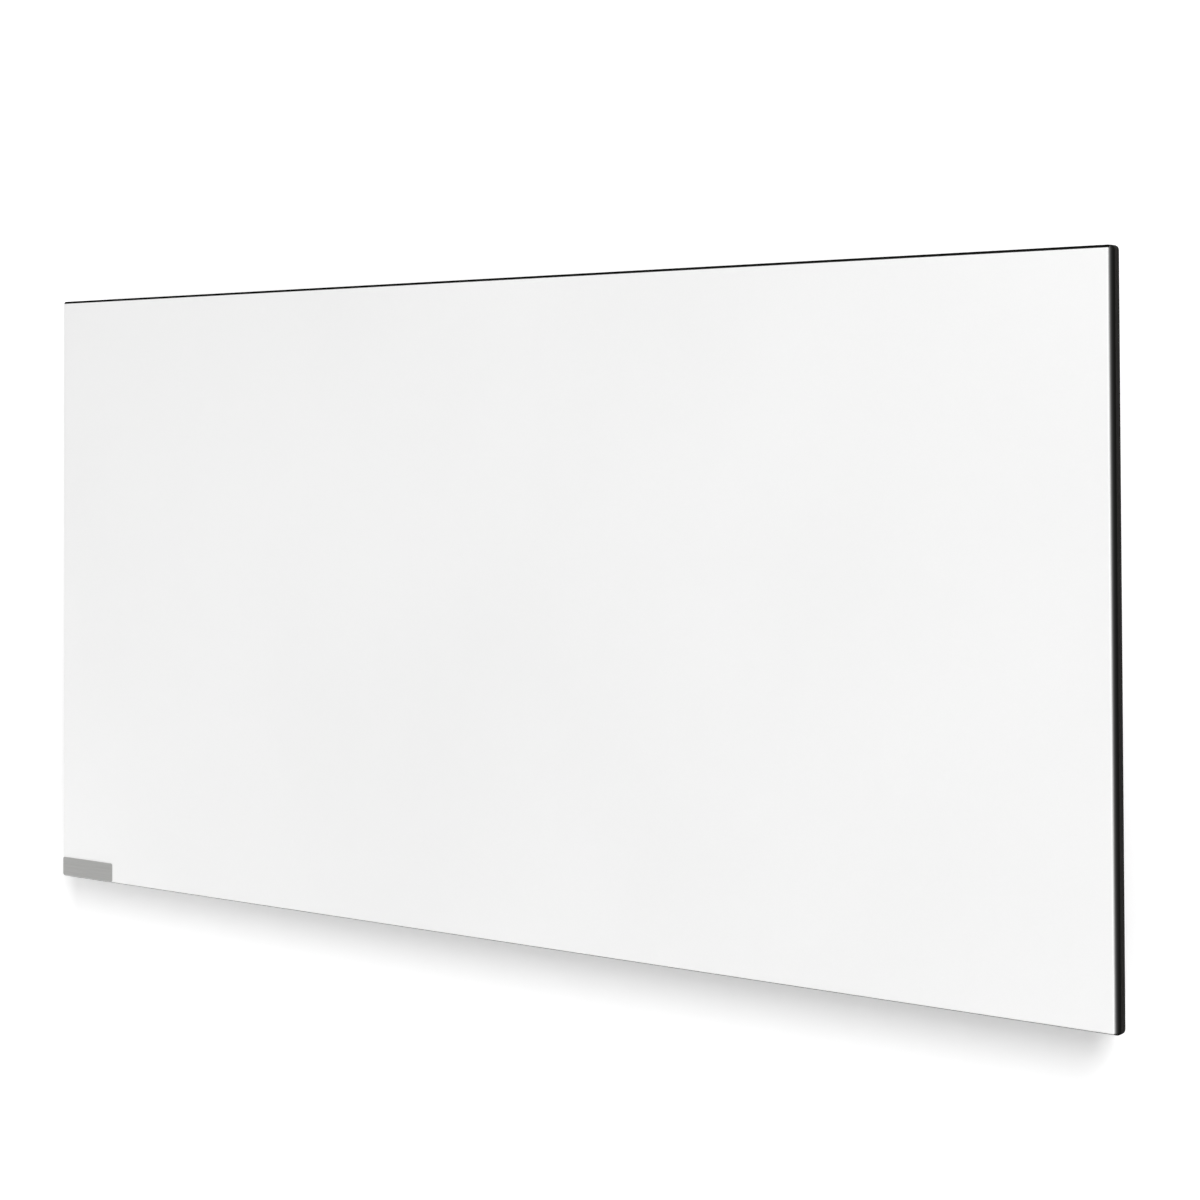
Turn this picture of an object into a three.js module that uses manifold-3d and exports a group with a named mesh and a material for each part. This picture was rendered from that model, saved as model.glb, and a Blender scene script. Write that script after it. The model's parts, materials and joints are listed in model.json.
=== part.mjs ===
// Ceramic panel heater, hung on two hooks on a wall. Lengths are in millimetres.
// X runs along the panel, Y from the room to the wall and Z up.
// The origin lies on the wall, behind the middle of the heating face.

import * as THREE from "three";
import { mergeVertices } from "three/addons/utils/BufferGeometryUtils.js";
import Module from "manifold-3d";

// Panel, measured over the rim of the rear tray
const panelWidth = 1200;
const panelHeight = 600;
const panelDepth = 20;
const wallGap = 24;

// Clearances
const fitGap = 0.3;
const sealGap = 0.05;
const overrun = 5;

// Ceramic tile
const tileThickness = 9;
const tileArris = 0.8;
const tileCornerRadius = 1.5;

// Bare plate in the face's lower left corner
const badgeWidth = 75;
const badgeHeight = 18.5;
const badgeThickness = 0.6;
const badgeCornerRadius = 1.5;
const badgeTapeThickness = 0.3;
const badgeTapeInset = 1;

// Pressed steel tray behind the tile
const traySheet = 1;
const trayBendRadius = 7;
const foldCornerRadius = 0.6;
const rimSetback = 7.5;

// Seal in the slot between tile and rim, with a fillet that tapers up the tile's side
const sealWidth = 1;
const sealTongue = 1.2;
const filletLead = 0.9;
const filletEdge = 0.2;
const filletInset = 0.2;

// Cups pressed into the tray to carry the tile, and the pads that bond them to it
const cupTopRadius = 16;
const cupSpread = 9;
const padRadius = 14;
const padThickness = 1.2;
const cupColumnShares = [-0.72, 0, 0.72];
const cupRowRuns = 2;

// Stiffening beads pressed into the tray
const beadRadius = 9;
const beadDepth = 3;
const beadRow = 30;
const beadMiddleMargin = 60;
const beadEndMargin = 60;

// Eyelid louvres pressed out of the tray
const louvreLength = 110;
const louvreHeight = 12;
const louvreRise = 3.5;
const louvreLip = 3;
const louvresPerRow = 6;
const louvreEndMargin = 130;
const louvreEdgeMargin = 62;

// Heating cable, laid in runs across the tile's back
const cableDiameter = 2.6;
const cableRuns = 12;
const cableEdgeMargin = 45;
const cableSideMargin = 60;
const returnLaneMargin = 38;
const laneSpacing = 20;
const laneClearance = 17;
const startTailMargin = 5;
const returnTailMargin = 5;

// Notched strips that hold the runs apart
const stripWidth = 14;
const stripEndMargin = 20;
const notchSideGap = 0.3;
const notchHeadroom = 0.4;
const notchRoof = 0.8;
const stripShares = [-0.5, -0.24, 0.24, 0.5];

// Reflector sheet between the cable and the tray
const reflectorSheet = 0.5;
const reflectorMargin = 18;
const reflectorFlange = 4;
const reflectorCornerRadius = 8;
const reflectorNotchMargin = 10;
const reflectorHoleGap = 1;

// Crimped sleeves and the insulated leads
const sleeveRadius = 2;
const sleeveLength = 25;
const sleeveNeckShare = 0.75;
const leadRadius = 1.2;
const stubLength = 8;
const leadHeadroom = 8;
const leadShare = 0.25;

// Thermal limiter under its clip
const limiterLength = 20;
const limiterHeight = 8;
const limiterThickness = 3;
const limiterCornerRadius = 1;
const limiterInset = 60;
const limiterRowRuns = 2.5;
const tailShare = 0.25;
const clipSheet = 0.4;
const clipWidth = 9;
const clipFoot = 6;

// Terminal hood on the tray's back
const hoodWidth = 110;
const hoodHeight = 90;
const hoodDepth = 20;
const hoodWall = 2;
const hoodEdgeRadius = 3;
const hoodCornerRadius = 9;
const hoodDraft = 1;
const hoodSideOffset = 75;
const hoodBottomOffset = 155;
const hoodPillarRadius = 4.5;
const hoodPillarInset = 9;
const hoodScrewSink = 3.2;
const gasketThickness = 0.8;
const gasketWidth = 3;
const windowWidth = 36;
const windowRim = 17;
const windowSideMargin = 9;
const windowCornerRadius = 4;

// Terminal block
const poleCount = 3;
const polePitch = 10.5;
const blockHeight = 20;
const blockDepth = 14;
const blockSideMargin = 30;
const blockDrop = 5;
const blockCornerRadius = 1.5;
const blockGrooveRadius = 1.3;
const blockGrooveDepth = 3.5;
const tubeOuterRadius = 2.6;
const tubeBoreRadius = 1.7;
const tubeLength = 16;
const tubeScrewRadius = 1.9;
const tubeScrewShare = 0.28;
const tubeScrewHeight = 2.5;
const leadEntry = 5;

// Earth stud
const earthSideMargin = 22;
const earthHeadroom = 18;
const earthStudRadius = 2;
const earthHeadRadius = 3.5;
const earthHeadHeight = 2.4;
const earthStudLength = 10;
const earthTipChamfer = 0.5;
const earthNutRadius = 4;
const earthNutHeight = 3;
const tagThickness = 0.8;
const tagRadius = 4.5;
const tagTongueWidth = 4;
const tagTongueLength = 5;

// Cable gland in the hood's lower wall, for a round cord
const glandThreadRadius = 6;
const glandBoreRadius = 3.6;
const glandHexRadius = 8.2;
const glandHexHeight = 5;
const glandThreadReach = 7.5;
const glandLockHeight = 3;
const glandColletLength = 8;
const glandColletRadius = 5.2;
const glandNutLength = 14;
const glandNutRadius = 7.6;
const glandNutWall = 1.6;
const glandNutDome = 4;
const glandNutCrown = 1;
const glandMouthLip = 2;

// Hanger brackets on the tray's back
const hangerShare = 0.485;
const hangerSheet = 1.5;
const hangerWidth = 60;
const hangerClearance = 6.5;
const hangerLegSpread = 6;
const hangerFlange = 13;
const hangerScrewSpread = 40;
const bendInsideRadius = 1;
const slotSidePlay = 2;
const slotSpareHeight = 4;
const webAboveTip = 4;
const webBelowSlot = 16;

// Wall hooks
const shelfMargin = 150;
const hookSheet = 2;
const hookWidth = 50;
const hookRise = 46;
const hookDrop = 34;
const tongueWidth = 24;
const tongueTip = 10;
const tonguePlay = 1;
const hookCornerRadius = 5;
const hookSlotRadius = 3.25;
const hookSlotLength = 16;
const hookSlotInset = 10;

// Rubber bumpers that keep the panel's lower edge off the wall
const bumperEdgeMargin = 116;
const bumperBaseRadius = 12;
const bumperTipRadius = 9.5;
const bumperFillet = 1.5;
const bumperBoreRadius = 5;
const bumperFloor = 4;

// Pan-head screws
const screwRadius = 1.9;
const screwHeadRadius = 3.6;
const screwHeadHeight = 2.4;
const screwCrownRadius = 2.7;
const screwReach = 4.5;
const screwHoleRadius = 2.2;

// Fineness of the facets
const cornerSteps = 4;
const trayBendSteps = 6;
const hoodEdgeSteps = 3;
const turnSteps = 6;
const cableSides = 6;
const wireSteps = 16;
const louvreSides = 8;
const louvreSteps = 2;
const beadSides = 20;
const beadSteps = 3;
const smallSides = 10;
const roundSides = 16;
const hexSides = 6;
const mergeDistance = 1e-4;

// Sizes that follow from the ones above
const tileWidth = panelWidth - 2 * (traySheet + sealWidth);
const tileHeight = panelHeight - 2 * (traySheet + sealWidth);
const trayFloor = panelDepth - traySheet;
const trayCornerRadius = tileCornerRadius + sealWidth + traySheet;
const cableSeat = tileThickness + fitGap;
const cableCentre = cableSeat + cableDiameter / 2;
const runPitch = (tileHeight - 2 * cableEdgeMargin) / (cableRuns - 1);
const turnRadius = runPitch / 2;
const firstRun = -tileHeight / 2 + cableEdgeMargin;
const returnLane = -tileWidth / 2 + returnLaneMargin;
const startLane = returnLane + laneSpacing;
const leftTurn = startLane + laneClearance + turnRadius;
const rightTurn = tileWidth / 2 - cableSideMargin - turnRadius;
const cupRow = cupRowRuns * runPitch;
const cupFront = tileThickness + fitGap + padThickness + fitGap;
const cupSlope = cupSpread / (trayFloor - cupFront);
const notchHeight = cableDiameter + notchHeadroom;
const stripThickness = notchHeight + notchRoof;
const reflectorFront = cableSeat + stripThickness + fitGap;
const reflectorBack = reflectorFront + reflectorSheet;
const sleeveCentre = cableSeat + sleeveRadius;
const hoodX = -panelWidth / 2 + hoodSideOffset;
const hoodZ = -panelHeight / 2 + hoodBottomOffset;
const hoodBase = panelDepth + gasketThickness;
const hoodBack = panelDepth + hoodDepth;
const hoodFloor = hoodZ - hoodHeight / 2;
const hoodTop = hoodZ + hoodHeight / 2;
const hoodRight = hoodX + hoodWidth / 2;
const windowHeight = hoodHeight - 2 * windowRim;
const windowX = hoodX - hoodWidth / 2 + windowSideMargin + windowWidth / 2;
const blockX = hoodRight - blockSideMargin;
const blockZ = hoodZ - blockDrop;
const blockFront = panelDepth + fitGap;
const poleAxis = blockFront + blockDepth / 2;
const blockTop = blockZ + blockHeight / 2;
const earthX = hoodRight - earthSideMargin;
const earthZ = hoodTop - earthHeadroom;
const glandAxis = panelDepth + hoodDepth / 2;
const glandSealLength = glandNutLength - glandMouthLip - glandColletLength - 2 * fitGap;
const startTailZ = hoodFloor - startTailMargin;
const returnTailZ = hoodTop - returnTailMargin;
const limiterX = leftTurn + limiterInset;
const limiterZ = firstRun + limiterRowRuns * runPitch;
const hangerX = (hangerShare * panelWidth) / 2;
const webBack = panelDepth + wallGap - hangerClearance;
const webFront = webBack - hangerSheet;
const shelfHeight = panelHeight / 2 - shelfMargin;
const slotTop = shelfHeight + fitGap;
const slotWidth = tongueWidth + 2 * slotSidePlay;
const slotHeight = hookSheet + tongueTip + slotSpareHeight;
const webTop = slotTop + tongueTip + webAboveTip;
const webBottom = slotTop - slotHeight - webBelowSlot;
const hookReach = hangerClearance + hangerSheet + tonguePlay + hookSheet;
const bumperRow = panelHeight / 2 - bumperEdgeMargin;

const wasm = await Module();
wasm.setup();

// Solids are cut and joined by manifold; everything else is three.js geometry.

function solid(geometry) {
  const bare = geometry.clone();
  bare.deleteAttribute("normal");
  bare.deleteAttribute("uv");
  const merged = mergeVertices(bare, mergeDistance);
  return new wasm.Manifold(
    new wasm.Mesh({
      numProp: 3,
      vertProperties: Float32Array.from(merged.attributes.position.array),
      triVerts: Uint32Array.from(merged.index.array),
    }),
  );
}

function joined(geometries) {
  return geometries.map(solid).reduce((all, one) => all.add(one));
}

// One body repeated at a list of [x, z] places.
function patterned(geometry, places) {
  return joined(places.map(([x, z]) => geometry.clone().translate(x, 0, z)));
}

function geometryOf(body) {
  const mesh = body.getMesh();
  const geometry = new THREE.BufferGeometry();
  geometry.setAttribute("position", new THREE.BufferAttribute(mesh.vertProperties, 3));
  geometry.setIndex(new THREE.BufferAttribute(mesh.triVerts, 1));
  return geometry;
}

function cut(base, ...tools) {
  return geometryOf(base.subtract(joined(tools)));
}

// A loft joins rings of equal count from front to back and closes both ends.
// Seen along the way from ring to ring, each ring runs anticlockwise.

function loft(rings, closed = false) {
  const count = rings[0].length;
  const points = rings.flat();
  const faces = [];
  const last = closed ? rings.length : rings.length - 1;
  for (let r = 0; r < last; r++) {
    const a = r * count;
    const b = ((r + 1) % rings.length) * count;
    for (let i = 0; i < count; i++) {
      const j = (i + 1) % count;
      faces.push(a + i, b + i, b + j, a + i, b + j, a + j);
    }
  }
  const end = (rings.length - 1) * count;
  for (let i = 1; !closed && i < count - 1; i++) {
    faces.push(0, i, i + 1, end, end + i + 1, end + i);
  }
  const geometry = new THREE.BufferGeometry().setFromPoints(points);
  geometry.setIndex(faces);
  return geometry;
}

// The outline of a plate with round corners, at one depth.
function ring(width, height, radius, depth) {
  const points = [];
  const corners = [[1, -1], [1, 1], [-1, 1], [-1, -1]];
  corners.forEach(([sideX, sideZ], corner) => {
    for (let step = 0; step <= cornerSteps; step++) {
      const angle = ((corner - 1 + step / cornerSteps) * Math.PI) / 2;
      const x = sideX * (width / 2 - radius) + radius * Math.cos(angle);
      const z = sideZ * (height / 2 - radius) + radius * Math.sin(angle);
      points.push(new THREE.Vector3(x, depth, z));
    }
  });
  return points;
}

// A pressed shell that is open to the front, with a bend round its back edge.
function shell({ width, height, front, back, sheet, bend, bendSteps, corner, draft }) {
  const bendRings = (wall) => {
    const radius = bend - wall;
    const rings = [];
    for (let step = 0; step <= bendSteps; step++) {
      const angle = (step / bendSteps) * (Math.PI / 2);
      const inset = draft + wall + radius * (1 - Math.cos(angle));
      const depth = back - bend + radius * Math.sin(angle);
      const round = Math.max(corner - inset, foldCornerRadius);
      rings.push(ring(width - 2 * inset, height - 2 * inset, round, depth));
    }
    return rings;
  };
  const mouth = (wall) => ring(width - 2 * wall, height - 2 * wall, corner - wall, front);
  return loft([...bendRings(sheet).reverse(), mouth(sheet), mouth(0), ...bendRings(0)]);
}

// A frame of even width between two outlines.
function frame(outer, outerRadius, inner, innerRadius, front, back) {
  return loft(
    [
      ring(inner[0], inner[1], innerRadius, front),
      ring(outer[0], outer[1], outerRadius, front),
      ring(outer[0], outer[1], outerRadius, back),
      ring(inner[0], inner[1], innerRadius, back),
    ],
    true,
  );
}

function plate(width, height, radius, front, back, x = 0, z = 0) {
  const rings = [ring(width, height, radius, front), ring(width, height, radius, back)];
  return loft(rings).translate(x, 0, z);
}

function block(width, height, front, back, x = 0, z = 0) {
  const box = new THREE.BoxGeometry(width, back - front, height);
  return box.translate(x, (front + back) / 2, z);
}

// A round bar or cone along Y, from front to back.
function drum(frontRadius, backRadius, front, back, x = 0, z = 0, sides = smallSides) {
  const bar = new THREE.CylinderGeometry(backRadius, frontRadius, back - front, sides);
  return bar.translate(x, (front + back) / 2, z);
}

// A turned piece along Y. The profile runs from front to back, from axis to axis.
function turned(profile, sides = smallSides) {
  return new THREE.LatheGeometry(profile.map(([r, y]) => new THREE.Vector2(r, y)), sides);
}

function polygon(radius, sides) {
  const points = [];
  for (let side = 0; side < sides; side++) {
    const angle = (side / sides) * 2 * Math.PI;
    points.push(new THREE.Vector2(radius * Math.cos(angle), radius * Math.sin(angle)));
  }
  return points;
}

// A wire that is pulled towards each of its inner points and never swings past them.
function wire(points, radius) {
  const places = points.map((point) => new THREE.Vector3(...point));
  const path = new THREE.CurvePath();
  let start = places[0];
  for (let i = 1; i < places.length - 1; i++) {
    const next = places[i + 1];
    const end = i === places.length - 2 ? next : places[i].clone().lerp(next, 0.5);
    path.add(new THREE.QuadraticBezierCurve3(start, places[i], end));
    start = end;
  }
  const section = new THREE.Shape(polygon(radius, cableSides));
  const options = { steps: wireSteps, extrudePath: path, bevelEnabled: false };
  return new THREE.ExtrudeGeometry(section, options);
}

// A strip of sheet folded along a line of [depth, z] points, with round bends, as wide as given in X.
function foldedStrip(line, sheet, width) {
  const points = line.map(([depth, z]) => new THREE.Vector2(depth, z));
  const middleRadius = bendInsideRadius + sheet / 2;
  const spine = [];
  points.forEach((point, i) => {
    if (i === 0 || i === points.length - 1) {
      const towards = i === 0 ? points[1].clone().sub(point) : point.clone().sub(points[i - 1]);
      spine.push({ point, normal: leftOf(towards.normalize()) });
      return;
    }
    const before = point.clone().sub(points[i - 1]).normalize();
    const after = points[i + 1].clone().sub(point).normalize();
    const turn = Math.atan2(before.cross(after), before.dot(after));
    const back = middleRadius * Math.tan(Math.abs(turn) / 2);
    const start = point.clone().addScaledVector(before, -back);
    const side = Math.sign(turn);
    const centre = start.clone().addScaledVector(leftOf(before), side * middleRadius);
    for (let step = 0; step <= 2; step++) {
      const normal = leftOf(before).rotateAround(new THREE.Vector2(), (turn * step) / 2);
      const place = centre.clone().addScaledVector(normal, -side * middleRadius);
      spine.push({ point: place, normal });
    }
  });
  const edge = (side) =>
    spine.map(({ point, normal }) => point.clone().addScaledVector(normal, (side * sheet) / 2));
  const outline = new THREE.Shape([...edge(-1), ...edge(1).reverse()]);
  const strip = new THREE.ExtrudeGeometry(outline, { depth: width, bevelEnabled: false });
  const axes = new THREE.Matrix4().makeBasis(
    new THREE.Vector3(0, 1, 0),
    new THREE.Vector3(0, 0, 1),
    new THREE.Vector3(1, 0, 0),
  );
  return strip.applyMatrix4(axes).translate(-width / 2, 0, 0);
}

function leftOf(direction) {
  return new THREE.Vector2(-direction.y, direction.x);
}

// Ceramic tile, its face ground to a small arris all round

function tileGeometry() {
  const faceWidth = tileWidth - 2 * tileArris;
  const faceHeight = tileHeight - 2 * tileArris;
  return loft([
    ring(faceWidth, faceHeight, tileCornerRadius - tileArris, 0),
    ring(tileWidth, tileHeight, tileCornerRadius, tileArris),
    ring(tileWidth, tileHeight, tileCornerRadius, tileThickness),
  ]);
}

function badgeGeometry() {
  const back = -badgeTapeThickness;
  return plate(badgeWidth, badgeHeight, badgeCornerRadius, back - badgeThickness, back);
}

function badgeTapeGeometry() {
  const width = badgeWidth - 2 * badgeTapeInset;
  const height = badgeHeight - 2 * badgeTapeInset;
  return plate(width, height, badgeCornerRadius - sealGap, -badgeTapeThickness + sealGap, -sealGap);
}

function sealGeometry() {
  const around = (offset, depth) =>
    ring(tileWidth + 2 * offset, tileHeight + 2 * offset, tileCornerRadius + offset, depth);
  const filletWidth = sealWidth + traySheet - filletInset;
  const [slotFront, slotBack] = [rimSetback - sealGap, rimSetback + sealTongue];
  return loft(
    [
      around(sealGap, filletLead),
      around(sealGap + filletEdge, filletLead),
      around(filletWidth, slotFront),
      around(sealWidth - sealGap, slotFront),
      around(sealWidth - sealGap, slotBack),
      around(sealGap, slotBack),
    ],
    true,
  );
}

// Places that several pieces share

const cupPlaces = cupColumnShares.flatMap((share) =>
  [-cupRow, cupRow].map((z) => [(share * tileWidth) / 2, z]),
);
const hangerPlaces = [-hangerX, hangerX];
const flangeMiddle = hangerLegSpread + hangerFlange / 2;
const hangerScrewPlaces = [webBottom - flangeMiddle, webTop + flangeMiddle].flatMap((z) =>
  [-hangerScrewSpread / 2, hangerScrewSpread / 2].map((x) => [x, z]),
);
const bumperPlaces = [-hangerX, hangerX].map((x) => [x, -bumperRow]);
const hoodScrewPlaces = [-1, 1].flatMap((sideX) =>
  [-1, 1].map((sideZ) => [
    hoodX + sideX * (hoodWidth / 2 - hoodPillarInset),
    hoodZ + sideZ * (hoodHeight / 2 - hoodPillarInset),
  ]),
);
const poleShifts = Array.from(
  { length: poleCount },
  (_, pole) => (pole - (poleCount - 1) / 2) * polePitch,
);

// Rear tray: a pressed shell with cups, beads, eyelid louvres and the terminal window

const trayBeyond = panelDepth + overrun;
const sheetMiddle = panelDepth - traySheet / 2;

function cupRadiusAt(depth) {
  return cupTopRadius + (depth - cupFront) * cupSlope;
}

function trayCups() {
  const floor = cupFront + traySheet;
  const hollowRadius = cupRadiusAt(floor) - traySheet;
  const mouthRadius = hollowRadius + (trayBeyond - floor) * cupSlope;
  const backRadius = cupRadiusAt(sheetMiddle);
  const cup = drum(cupTopRadius, backRadius, cupFront, sheetMiddle, 0, 0, roundSides);
  const hollow = drum(hollowRadius, mouthRadius, floor, trayBeyond, 0, 0, roundSides);
  return [patterned(cup, cupPlaces), patterned(hollow, cupPlaces)];
}

function trayBeads() {
  const centre = panelDepth - beadDepth + beadRadius;
  const outerEnd = panelWidth / 2 - beadEndMargin;
  const straight = outerEnd - beadMiddleMargin - 2 * beadRadius;
  const middle = (beadMiddleMargin + outerEnd) / 2;
  const places = [-middle, middle].flatMap((x) => [-beadRow, beadRow].map((z) => [x, z]));
  const [ridge, groove] = [beadRadius + traySheet, beadRadius].map((radius) => {
    const bar = new THREE.CapsuleGeometry(radius, straight, beadSteps, beadSides);
    return patterned(bar.rotateZ(Math.PI / 2).translate(0, centre, 0), places);
  });
  const inside = solid(block(panelWidth, panelHeight, 0, sheetMiddle));
  return [ridge.intersect(inside), groove];
}

function louvreBody(wall) {
  const half = louvreHeight / 2 - wall;
  const straight = louvreLength - louvreHeight;
  const body = new THREE.CapsuleGeometry(half, straight, louvreSteps, louvreSides);
  const rise = (louvreRise - wall) / half;
  return body.rotateZ(Math.PI / 2).scale(1, rise, 1).translate(0, panelDepth, 0);
}

function trayLouvres() {
  const row = panelHeight / 2 - louvreEdgeMargin;
  const first = -panelWidth / 2 + louvreEndMargin + louvreLength / 2;
  const pitch = (-2 * first) / (louvresPerRow - 1);
  const places = Array.from({ length: louvresPerRow }, (_, i) => first + i * pitch)
    .flatMap((x) => [-row, row].map((z) => [x, z]));
  const outside = solid(block(panelWidth, panelHeight, sheetMiddle, trayBeyond));
  const lids = patterned(louvreBody(0), places).intersect(outside);
  const lowerEdge = -louvreHeight / 2;
  const lip = block(louvreLength, 2 * louvreLip, panelDepth, trayBeyond, 0, lowerEdge);
  const airways = patterned(louvreBody(traySheet), places).add(patterned(lip, places));
  return [lids, airways];
}

function trayHoles() {
  const screw = drum(screwHoleRadius, screwHoleRadius, cupFront, trayBeyond);
  const hangerHoles = hangerPlaces.flatMap((x) => hangerScrewPlaces.map(([dx, z]) => [x + dx, z]));
  const blockHole = [blockX + polePitch / 2, blockZ];
  const earthRadius = earthStudRadius + fitGap;
  return patterned(screw, [...hangerHoles, ...bumperPlaces, ...hoodScrewPlaces, blockHole])
    .add(solid(drum(earthRadius, earthRadius, cupFront, trayBeyond, earthX, earthZ)))
    .add(solid(terminalWindow(cupFront, trayBeyond)));
}

function terminalWindow(front, back) {
  return plate(windowWidth, windowHeight, windowCornerRadius, front, back, windowX, hoodZ);
}

function trayGeometry() {
  const pressing = shell({
    width: panelWidth,
    height: panelHeight,
    front: rimSetback,
    back: panelDepth,
    sheet: traySheet,
    bend: trayBendRadius,
    bendSteps: trayBendSteps,
    corner: trayCornerRadius,
    draft: 0,
  });
  const forms = [trayCups(), trayBeads(), trayLouvres()];
  const form = (tray, [added, removed]) => tray.add(added).subtract(removed);
  return geometryOf(forms.reduce(form, solid(pressing)).subtract(trayHoles()));
}

// Heating cable: a walk in the tile's plane, noted where the tube needs a ring

function cableStations() {
  const stations = [];
  let [x, z, heading] = [startLane, startTailZ, -Math.PI / 2];
  const straightTo = (length) => {
    x += length * Math.cos(heading);
    z += length * Math.sin(heading);
    stations.push({ x, z, heading });
  };
  const bend = (angle, radius) => {
    const steps = Math.round((Math.abs(angle) / Math.PI) * turnSteps);
    const side = Math.sign(angle);
    const [cx, cz] = [x - side * radius * Math.sin(heading), z + side * radius * Math.cos(heading)];
    for (let step = 0; step < steps; step++) {
      heading += angle / steps;
      x = cx + side * radius * Math.sin(heading);
      z = cz - side * radius * Math.cos(heading);
      stations.push({ x, z, heading });
    }
  };
  stations.push({ x, z, heading });
  straightTo(startTailZ - (firstRun + turnRadius));
  bend(Math.PI / 2, turnRadius);
  for (let run = 0; run < cableRuns; run++) {
    const goesRight = run % 2 === 0;
    const lastOne = run === cableRuns - 1;
    const stop = goesRight ? rightTurn : leftTurn;
    straightTo(Math.abs((lastOne ? returnLane + turnRadius : stop) - x));
    if (!lastOne) {
      bend(goesRight ? Math.PI : -Math.PI, turnRadius);
    }
  }
  bend(Math.PI / 2, turnRadius);
  straightTo(z - returnTailZ);
  return stations;
}

function cableGeometry() {
  const section = polygon(cableDiameter / 2, cableSides);
  const rings = cableStations().map(({ x, z, heading }) =>
    section.map(({ x: across, y: deep }) => {
      const place = new THREE.Vector3(x, cableCentre + deep, z);
      place.x -= across * Math.sin(heading);
      place.z += across * Math.cos(heading);
      return place;
    }),
  );
  return loft(rings);
}

function stripGeometry() {
  const length = tileHeight - 2 * stripEndMargin;
  const strip = solid(block(stripWidth, length, cableSeat, cableSeat + stripThickness));
  const notchTop = cableSeat + notchHeight;
  const notchWidth = cableDiameter + 2 * notchSideGap;
  const notches = Array.from({ length: cableRuns }, (_, run) =>
    block(stripWidth + overrun, notchWidth, 0, notchTop, 0, firstRun + run * runPitch),
  );
  return cut(strip, ...notches);
}

// Reflector: a sheet with its edges turned back, open round the cups and the cable's tails

function reflectorGeometry() {
  const size = (inset) => [tileWidth, tileHeight].map((s) => s - 2 * (reflectorMargin + inset));
  const [outer, inner] = [size(0), size(reflectorSheet)];
  const innerCorner = reflectorCornerRadius - reflectorSheet;
  const sheet = solid(
    loft([
      ring(...outer, reflectorCornerRadius, reflectorFront),
      ring(...outer, reflectorCornerRadius, reflectorFront + reflectorFlange),
      ring(...inner, innerCorner, reflectorFront + reflectorFlange),
      ring(...inner, innerCorner, reflectorBack),
    ]),
  );
  const holeRadius = cupRadiusAt(reflectorBack) + reflectorHoleGap;
  const holes = cupPlaces.map(([x, z]) =>
    drum(holeRadius, holeRadius, 0, panelDepth, x, z, roundSides),
  );
  const notchLow = startTailZ - reflectorNotchMargin;
  const notchHigh = returnTailZ + reflectorNotchMargin;
  const notchRight = windowX + windowWidth / 2 + reflectorNotchMargin;
  const notchLeft = -panelWidth / 2;
  const notch = block(
    notchRight - notchLeft,
    notchHigh - notchLow,
    0,
    panelDepth,
    (notchLeft + notchRight) / 2,
    (notchLow + notchHigh) / 2,
  );
  return cut(sheet, ...holes, notch);
}

// Sleeve along Z, with drawn-in ends
function sleeveGeometry() {
  const [end, shoulder] = [sleeveLength / 2, sleeveLength / 2 - sleeveRadius];
  const neck = sleeveRadius * sleeveNeckShare;
  const profile = [
    [0, -end],
    [neck, -end],
    [sleeveRadius, -shoulder],
    [sleeveRadius, shoulder],
    [neck, end],
    [0, end],
  ];
  return turned(profile).rotateX(Math.PI / 2);
}

function limiterGeometry() {
  const back = cableSeat + limiterThickness;
  return plate(limiterLength, limiterHeight, limiterCornerRadius, cableSeat, back);
}

function clipGeometry() {
  const top = cableSeat + limiterThickness + fitGap + clipSheet / 2;
  const foot = cableSeat + clipSheet / 2;
  const half = limiterHeight / 2 + fitGap + clipSheet / 2 + bendInsideRadius;
  const line = [
    [foot, -half - clipFoot],
    [foot, -half],
    [top, -half],
    [top, half],
    [foot, half],
    [foot, half + clipFoot],
  ];
  return foldedStrip(line, clipSheet, clipWidth);
}

// Leads, from the tile's back through the window to the terminals

const limiterEnd = limiterX - limiterLength / 2 - fitGap;
const tailRise = tailShare * limiterHeight;
const poleEntry = blockTop - leadEntry;
const windowRight = windowX + windowWidth / 2;
const supplyBend = windowX + leadShare * windowWidth;
const returnBend = windowX - leadShare * windowWidth;

function limiterLeadGeometry() {
  const z = limiterZ - tailRise;
  const start = startTailZ + sleeveLength + 2 * fitGap;
  return wire(
    [
      [startLane, sleeveCentre, start],
      [startLane, sleeveCentre, start + stubLength],
      [startLane, cableCentre, z],
      [startLane + 3 * stubLength, cableCentre, z],
      [limiterEnd, cableCentre, z],
    ],
    leadRadius,
  );
}

function supplyLeadGeometry() {
  const z = limiterZ + tailRise;
  const x = blockX + poleShifts[0];
  const high = hoodTop - leadHeadroom - stubLength;
  return wire(
    [
      [limiterEnd, cableCentre, z],
      [(limiterEnd + windowRight) / 2, cableCentre, z],
      [windowRight, cableCentre, z],
      [supplyBend, cableCentre, z],
      [supplyBend, poleAxis, z + stubLength],
      [supplyBend, poleAxis, high],
      [x, poleAxis, high],
      [x, poleAxis, blockTop + stubLength],
      [x, poleAxis, poleEntry],
    ],
    leadRadius,
  );
}

function returnLeadGeometry() {
  const x = blockX + poleShifts[1];
  const start = returnTailZ - sleeveLength - 2 * fitGap;
  const deep = poleAxis + stubLength / 2;
  const high = hoodTop - leadHeadroom;
  return wire(
    [
      [returnLane, sleeveCentre, start],
      [returnLane, sleeveCentre, start - stubLength],
      [returnBend, sleeveCentre, start - 2 * stubLength],
      [returnBend, deep, start - 2 * stubLength],
      [returnBend, deep, high],
      [x, deep, high],
      [x, poleAxis, blockTop + 2 * stubLength],
      [x, poleAxis, blockTop + stubLength],
      [x, poleAxis, poleEntry],
    ],
    leadRadius,
  );
}

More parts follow.
